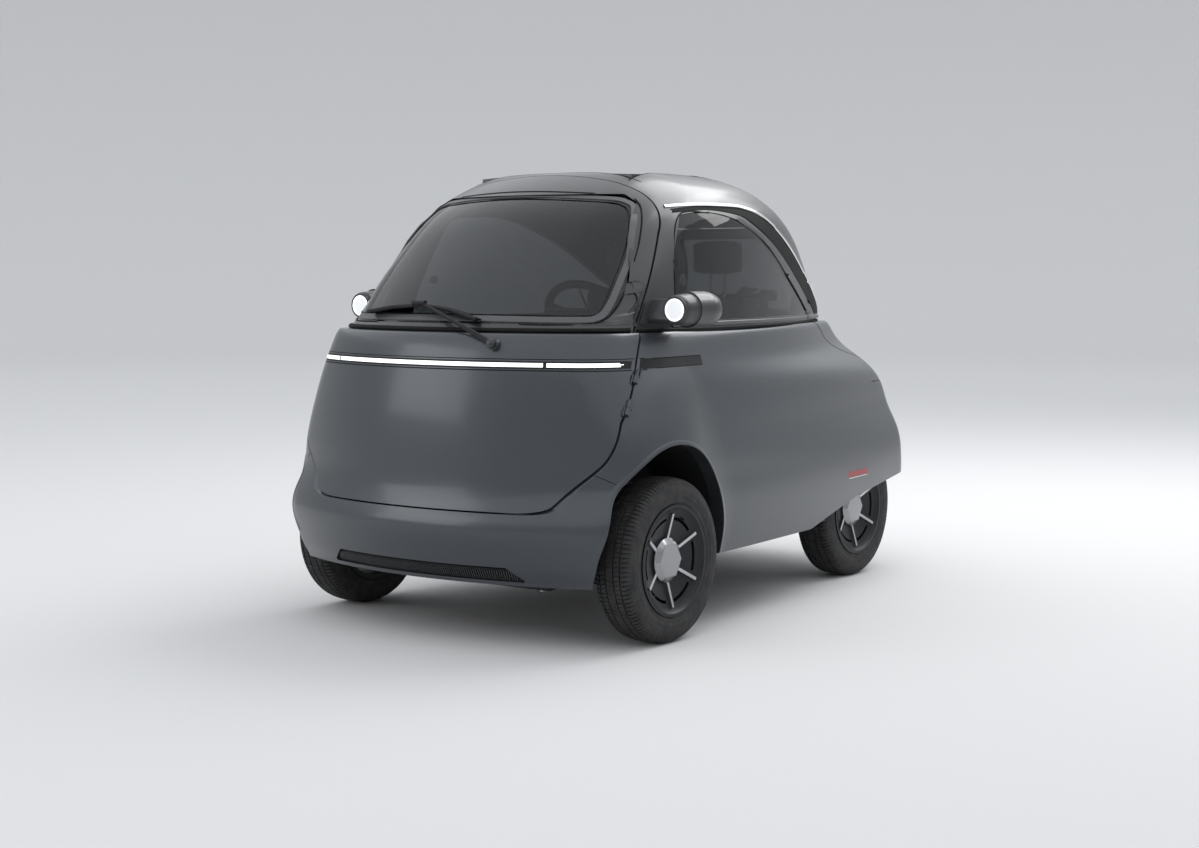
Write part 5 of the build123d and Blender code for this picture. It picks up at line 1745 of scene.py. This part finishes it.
# ------------------------------------------------------------------- seats
@dataclass
class Seats:
    """Stuffed seat pieces, swollen by a short cloth run, with piping and seams."""

    frames: int = 20
    quick_voxels: float = 2.2
    cushion: tuple[tuple[Point, Point], ...] = (((-436, -318, 424), (-6, 182, 526)),
        ((6, -318, 424), (436, 182, 526)), ((-12, -312, 424), (12, 176, 508)))
    backrest: tuple[tuple[Point, Point], ...] = (((-376, 124, 552), (-5, 194, 1074)),
        ((5, 124, 552), (376, 194, 1074)), ((-12, 138, 556), (12, 190, 1060)))
    headrest_x: tuple[int, int] = (-198, 198)

    def pad(self, name: str, boxes: Sequence[tuple[Point, Point]], shear: float, swell: float,
            voxel: float = 0.0058) -> bpy.types.Object:
        """One stuffed piece.

        Args:
            name: its name.
            boxes: corners in millimetres of the blocks it starts from.
            shear: how far y moves per millimetre of height over the first box's foot.
            swell: the most a point may move, in millimetres.
            voxel: remesh size in metres.

        Returns:
            The piece.
        """
        bm = bmesh.new()
        for low, high in boxes:
            add_box(bm, low, high, min(18.0, min(h - l for l, h in zip(low, high)) * 0.28))
        base = boxes[0][0][2] * 0.001
        for v in bm.verts:
            v.co.y += shear * (v.co.z - base)
        obj = bare_object(name, bm)
        remesh = obj.modifiers.new("remesh", "REMESH")
        remesh.mode = "VOXEL"
        remesh.voxel_size = voxel * 1.0
        apply_modifiers(obj)
        rest = [v.co.copy() for v in obj.data.vertices]
        self.inflate(obj, rest, swell * 0.001)
        for poly in obj.data.polygons:
            poly.use_smooth = True
        dress(obj, SEAT_CLOTH)
        return obj

    def inflate(self, obj: bpy.types.Object, rest: list[Vector], cap: float) -> None:
        """Blow the piece up with cloth pressure and hold each point within cap of its start."""
        scene = bpy.context.scene
        cloth = obj.modifiers.new("cloth", "CLOTH")
        s = cloth.settings
        s.use_pressure = True
        s.uniform_pressure_force = 4.0
        s.effector_weights.gravity = 0.0
        s.tension_stiffness = s.compression_stiffness = 18.0
        s.shear_stiffness = 8.0
        s.bending_stiffness = 0.5
        s.mass = 0.3
        cloth.collision_settings.use_collision = False
        cloth.point_cache.frame_start, cloth.point_cache.frame_end = 1, self.frames
        for f in range(1, self.frames + 1):
            scene.frame_set(f)
        moved = obj.evaluated_get(bpy.context.evaluated_depsgraph_get()).to_mesh()
        after = [v.co.copy() for v in moved.vertices]
        obj.evaluated_get(bpy.context.evaluated_depsgraph_get()).to_mesh_clear()
        obj.modifiers.clear()
        scene.frame_set(1)
        for v, a, b in zip(obj.data.vertices, rest, after):
            d = b - a
            v.co = a + (d * (cap / d.length) if d.length > cap else d)

    @staticmethod
    def finish(obj: bpy.types.Object, nodes: Sequence[str], fill: float) -> None:
        """Args:
            obj: the piece.
            nodes: the CAD nodes it stands for.
            fill: how tightly it is stuffed; not used.
        """
        bm = bmesh.new()
        bm.from_mesh(obj.data)
        for _ in range(3):
            bmesh.ops.smooth_vert(bm, verts=bm.verts, factor=0.5, use_axis_x=True, use_axis_y=True,
                use_axis_z=True)
        for f in bm.faces:
            f.smooth = True
        bm.to_mesh(obj.data)
        bm.free()
        ride(obj, Body.ROOT)
        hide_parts(*nodes)

    def build(self) -> None:
        """Make the cushion, the backrest and the headrests."""
        made = []
        for name, node, boxes, shear, swell, fill in (
                ("seat_cushion_soft", "seat_cushion", self.cushion, 0.0, 12.0, 0.75),
                ("seat_backrest_soft", "seat_backrest", self.backrest, 85 / 540, 10.0, 0.7)):
            obj = self.pad(name, boxes, shear, swell)
            self.finish(obj, [node], fill)
            made.append(obj)
        for i, x in enumerate(self.headrest_x):
            obj = self.pad(f"headrest_soft_{i + 1}", [((x - 96, 206, 1162), (x + 96, 264, 1275))], 0.0, 8.0,
                0.005)
            self.finish(obj, [] if i else ["headrests"], 0.8)
        with shaping("headrest_posts", Body.ROOT, BRIGHT_TRIM) as bm:
            for x in self.headrest_x:
                for dx in (-31, 31):
                    add_tube(bm, [mm(x + dx, 236, 1070), mm(x + dx, 236, 1172)], 0.0065, 16)
                    add_lathe(bm, ((0, 7), (0, 13), (7, 11), (7, 7)),
                        aim(mm(x + dx, 236, 1085.4), (0, 0, 1)), 20, True)
        for obj in made:
            self.seams(obj)

    @staticmethod
    def seams(obj: bpy.types.Object) -> None:
        """Stitched lines across a pad and piping along its sides."""
        tree = BVHTree.FromPolygons([v.co.copy() for v in obj.data.vertices],
            [tuple(p.vertices) for p in obj.data.polygons])
        cushion = "cushion" in obj.name
        for k, x in enumerate((-330, -115, 115, 330)):
            if cushion:
                line, way = [mm(x, y, 900) for y in range(-290, 160, 12)], Vector((0, 0, -1))
            else:
                line, way = [mm(x, -400, z) for z in range(590, 1050, 12)], Vector((0, 1, 0))
            hits = [tree.ray_cast(start, way) for start in line]
            laid = [(hit[0] + way * 0.0002, hit[1]) for hit in hits if hit[0] is not None]
            Repeater.row(f"{obj.name}_stitch_{k}", Body.ROOT, laid, round(len(laid) * 1.2), (6.5, 1.8, 2.2),
                SEAT_EDGE)
        for k, x in enumerate((-442, 442) if cushion else (-381, 381)):
            if cushion:
                line = [mm(x * 1.3, y, 482) for y in spaced(-290, 150, 39)]
            else:
                line = [mm(x * 1.3, y, z) for y, z in zip(spaced(160, 245, 39), spaced(575, 1055, 39))]
            hits = [tree.ray_cast(start, Vector((-1 if x > 0 else 1, 0, 0))) for start in line]
            with shaping(f"{obj.name}_piping_{k}", Body.ROOT, SEAT_EDGE, 40.0) as bm:
                add_tube(bm, [hit[0] for hit in hits if hit[0] is not None], 0.0032, 8)


# -------------------------------------------------------------------- tail
@dataclass
class Tail:
    """Handle of the tailgate and seal of the sunroof."""

    drape: Drape

    def build(self) -> None:
        """Make the handle and the sunroof's seal."""
        with shaping("hatch_handle", Body.HATCH, DARK_TRIM) as bm:
            laid = self.drape.trace(View.BACK, [(x, 606) for x in spaced(-70, 70, 8)])
            add_ribbon(bm, laid, strip(20.0, 9.0, 1.0, 4.0))
        with shaping("sunroof_seal", Body.ROOT, RUBBER_SEAL) as bm:
            outline = rounded(((-325, -490), (325, -490), (325, -70), (-325, -70)), (3, 3, 3, 3), -1.5)
            laid = self.drape.trace(View.TOP, outline, 0.02, True, 0.01)
            add_ribbon(bm, laid, strip(5.0, 0.2, 1.8), True)


# ------------------------------------------------------------------ studio
@dataclass
class Studio:
    """Pale cove, soft lights and the camera."""

    eye: Point = (4.0178, -5.6926, 1.1681)
    yaw: float = 36.331
    pitch: float = 4.588
    lens: float = 57.18
    pale: float = 0.66
    floor: float = 20.0
    bend: float = 6.0

    def cove(self) -> None:
        """Round floor that curves up into a wall on every side."""
        bm = bmesh.new()
        profile = [(0.0, 0.0), (4.0, 0.0), (12.0, 0.0), (self.floor, 0.0)]
        profile += [(self.floor + self.bend * sin(radians(a)), self.bend - self.bend * cos(radians(a)))
            for a in range(10, 91, 10)] + [(self.floor + self.bend, 11.0)]
        add_lathe(bm, [(z * 1000, r * 1000) for r, z in profile], Matrix.Identity(4), 96)
        bmesh.ops.reverse_faces(bm, faces=[f for f in bm.faces if f.normal.z < 0])
        obj = from_bmesh("studio_cove", bm, Paper("cove_paper", (self.pale,) * 3), 60.0)

    def lamp(self, name: str, place: Point, aim: Point, size: tuple[float, float], power: float) -> None:
        """One soft rectangular light.

        Args:
            name: its name.
            place: where it hangs.
            aim: the point it faces.
            size: width and height in metres.
            power: watts.
        """
        data = bpy.data.lights.new(name, "AREA")
        data.shape = "RECTANGLE"
        data.size, data.size_y = size
        data.energy = power
        obj = bpy.data.objects.new(name, data)
        obj.location = place
        obj.rotation_euler = (Vector(aim) - Vector(place)).to_track_quat("-Z", "Y").to_euler()
        obj.visible_camera = False
        bpy.context.scene.collection.objects.link(obj)

    def build(self) -> None:
        """Set the whole studio up."""
        self.cove()
        self.lamp("overhead", (1.0, 3.4, 5.0), (0.1, 0.3, 0.8), (4.6, 3.4), 170.0)
        self.lamp("rear_left", (1.7, 7.4, 4.9), (0.5, 0.6, 0.8), (3.6, 2.4), 60.0)
        self.lamp("front_fill", (-4.2, -6.4, 2.8), (0.0, -0.6, 0.7), (4.0, 3.0), 70.0)
        world = bpy.data.worlds.new("studio_air")
        world.use_nodes = True
        world.node_tree.nodes["Background"].inputs[0].default_value = (0.80, 0.82, 0.85, 1.0)
        world.node_tree.nodes["Background"].inputs[1].default_value = 1.25
        bpy.context.scene.world = world
        data = bpy.data.cameras.new("camera")
        data.lens = self.lens
        data.sensor_width = 36.0
        data.clip_end = 200.0
        cam = bpy.data.objects.new("camera", data)
        cam.location = self.eye
        cam.rotation_euler = (radians(90.0 - self.pitch), 0.0, radians(self.yaw))
        bpy.context.scene.collection.objects.link(cam)
        bpy.context.scene.camera = cam
        bpy.context.scene.view_settings.view_transform = "Standard"


def main() -> None:
    """Build each part of the scene in order."""
    logging.basicConfig(level=logging.INFO, format="%(name)s: %(message)s")
    for obj in list(bpy.data.objects):
        if obj.name in ("Cube", "Light", "Camera"):
            bpy.data.objects.remove(obj)
    drape = Drape(SHELL)
    belt = BeltLine(drape)
    for part in (Skins(), Glazing(drape), belt, Lamps(belt), Nose(drape), ArchLips(drape), HingePockets(),
            Wheels(), RunningGear(), Cabin(), Seats(), Tail(drape), Studio()):
        log.info("building %s", type(part).__name__)
        part.build()


if __name__ == "__main__":
    main()
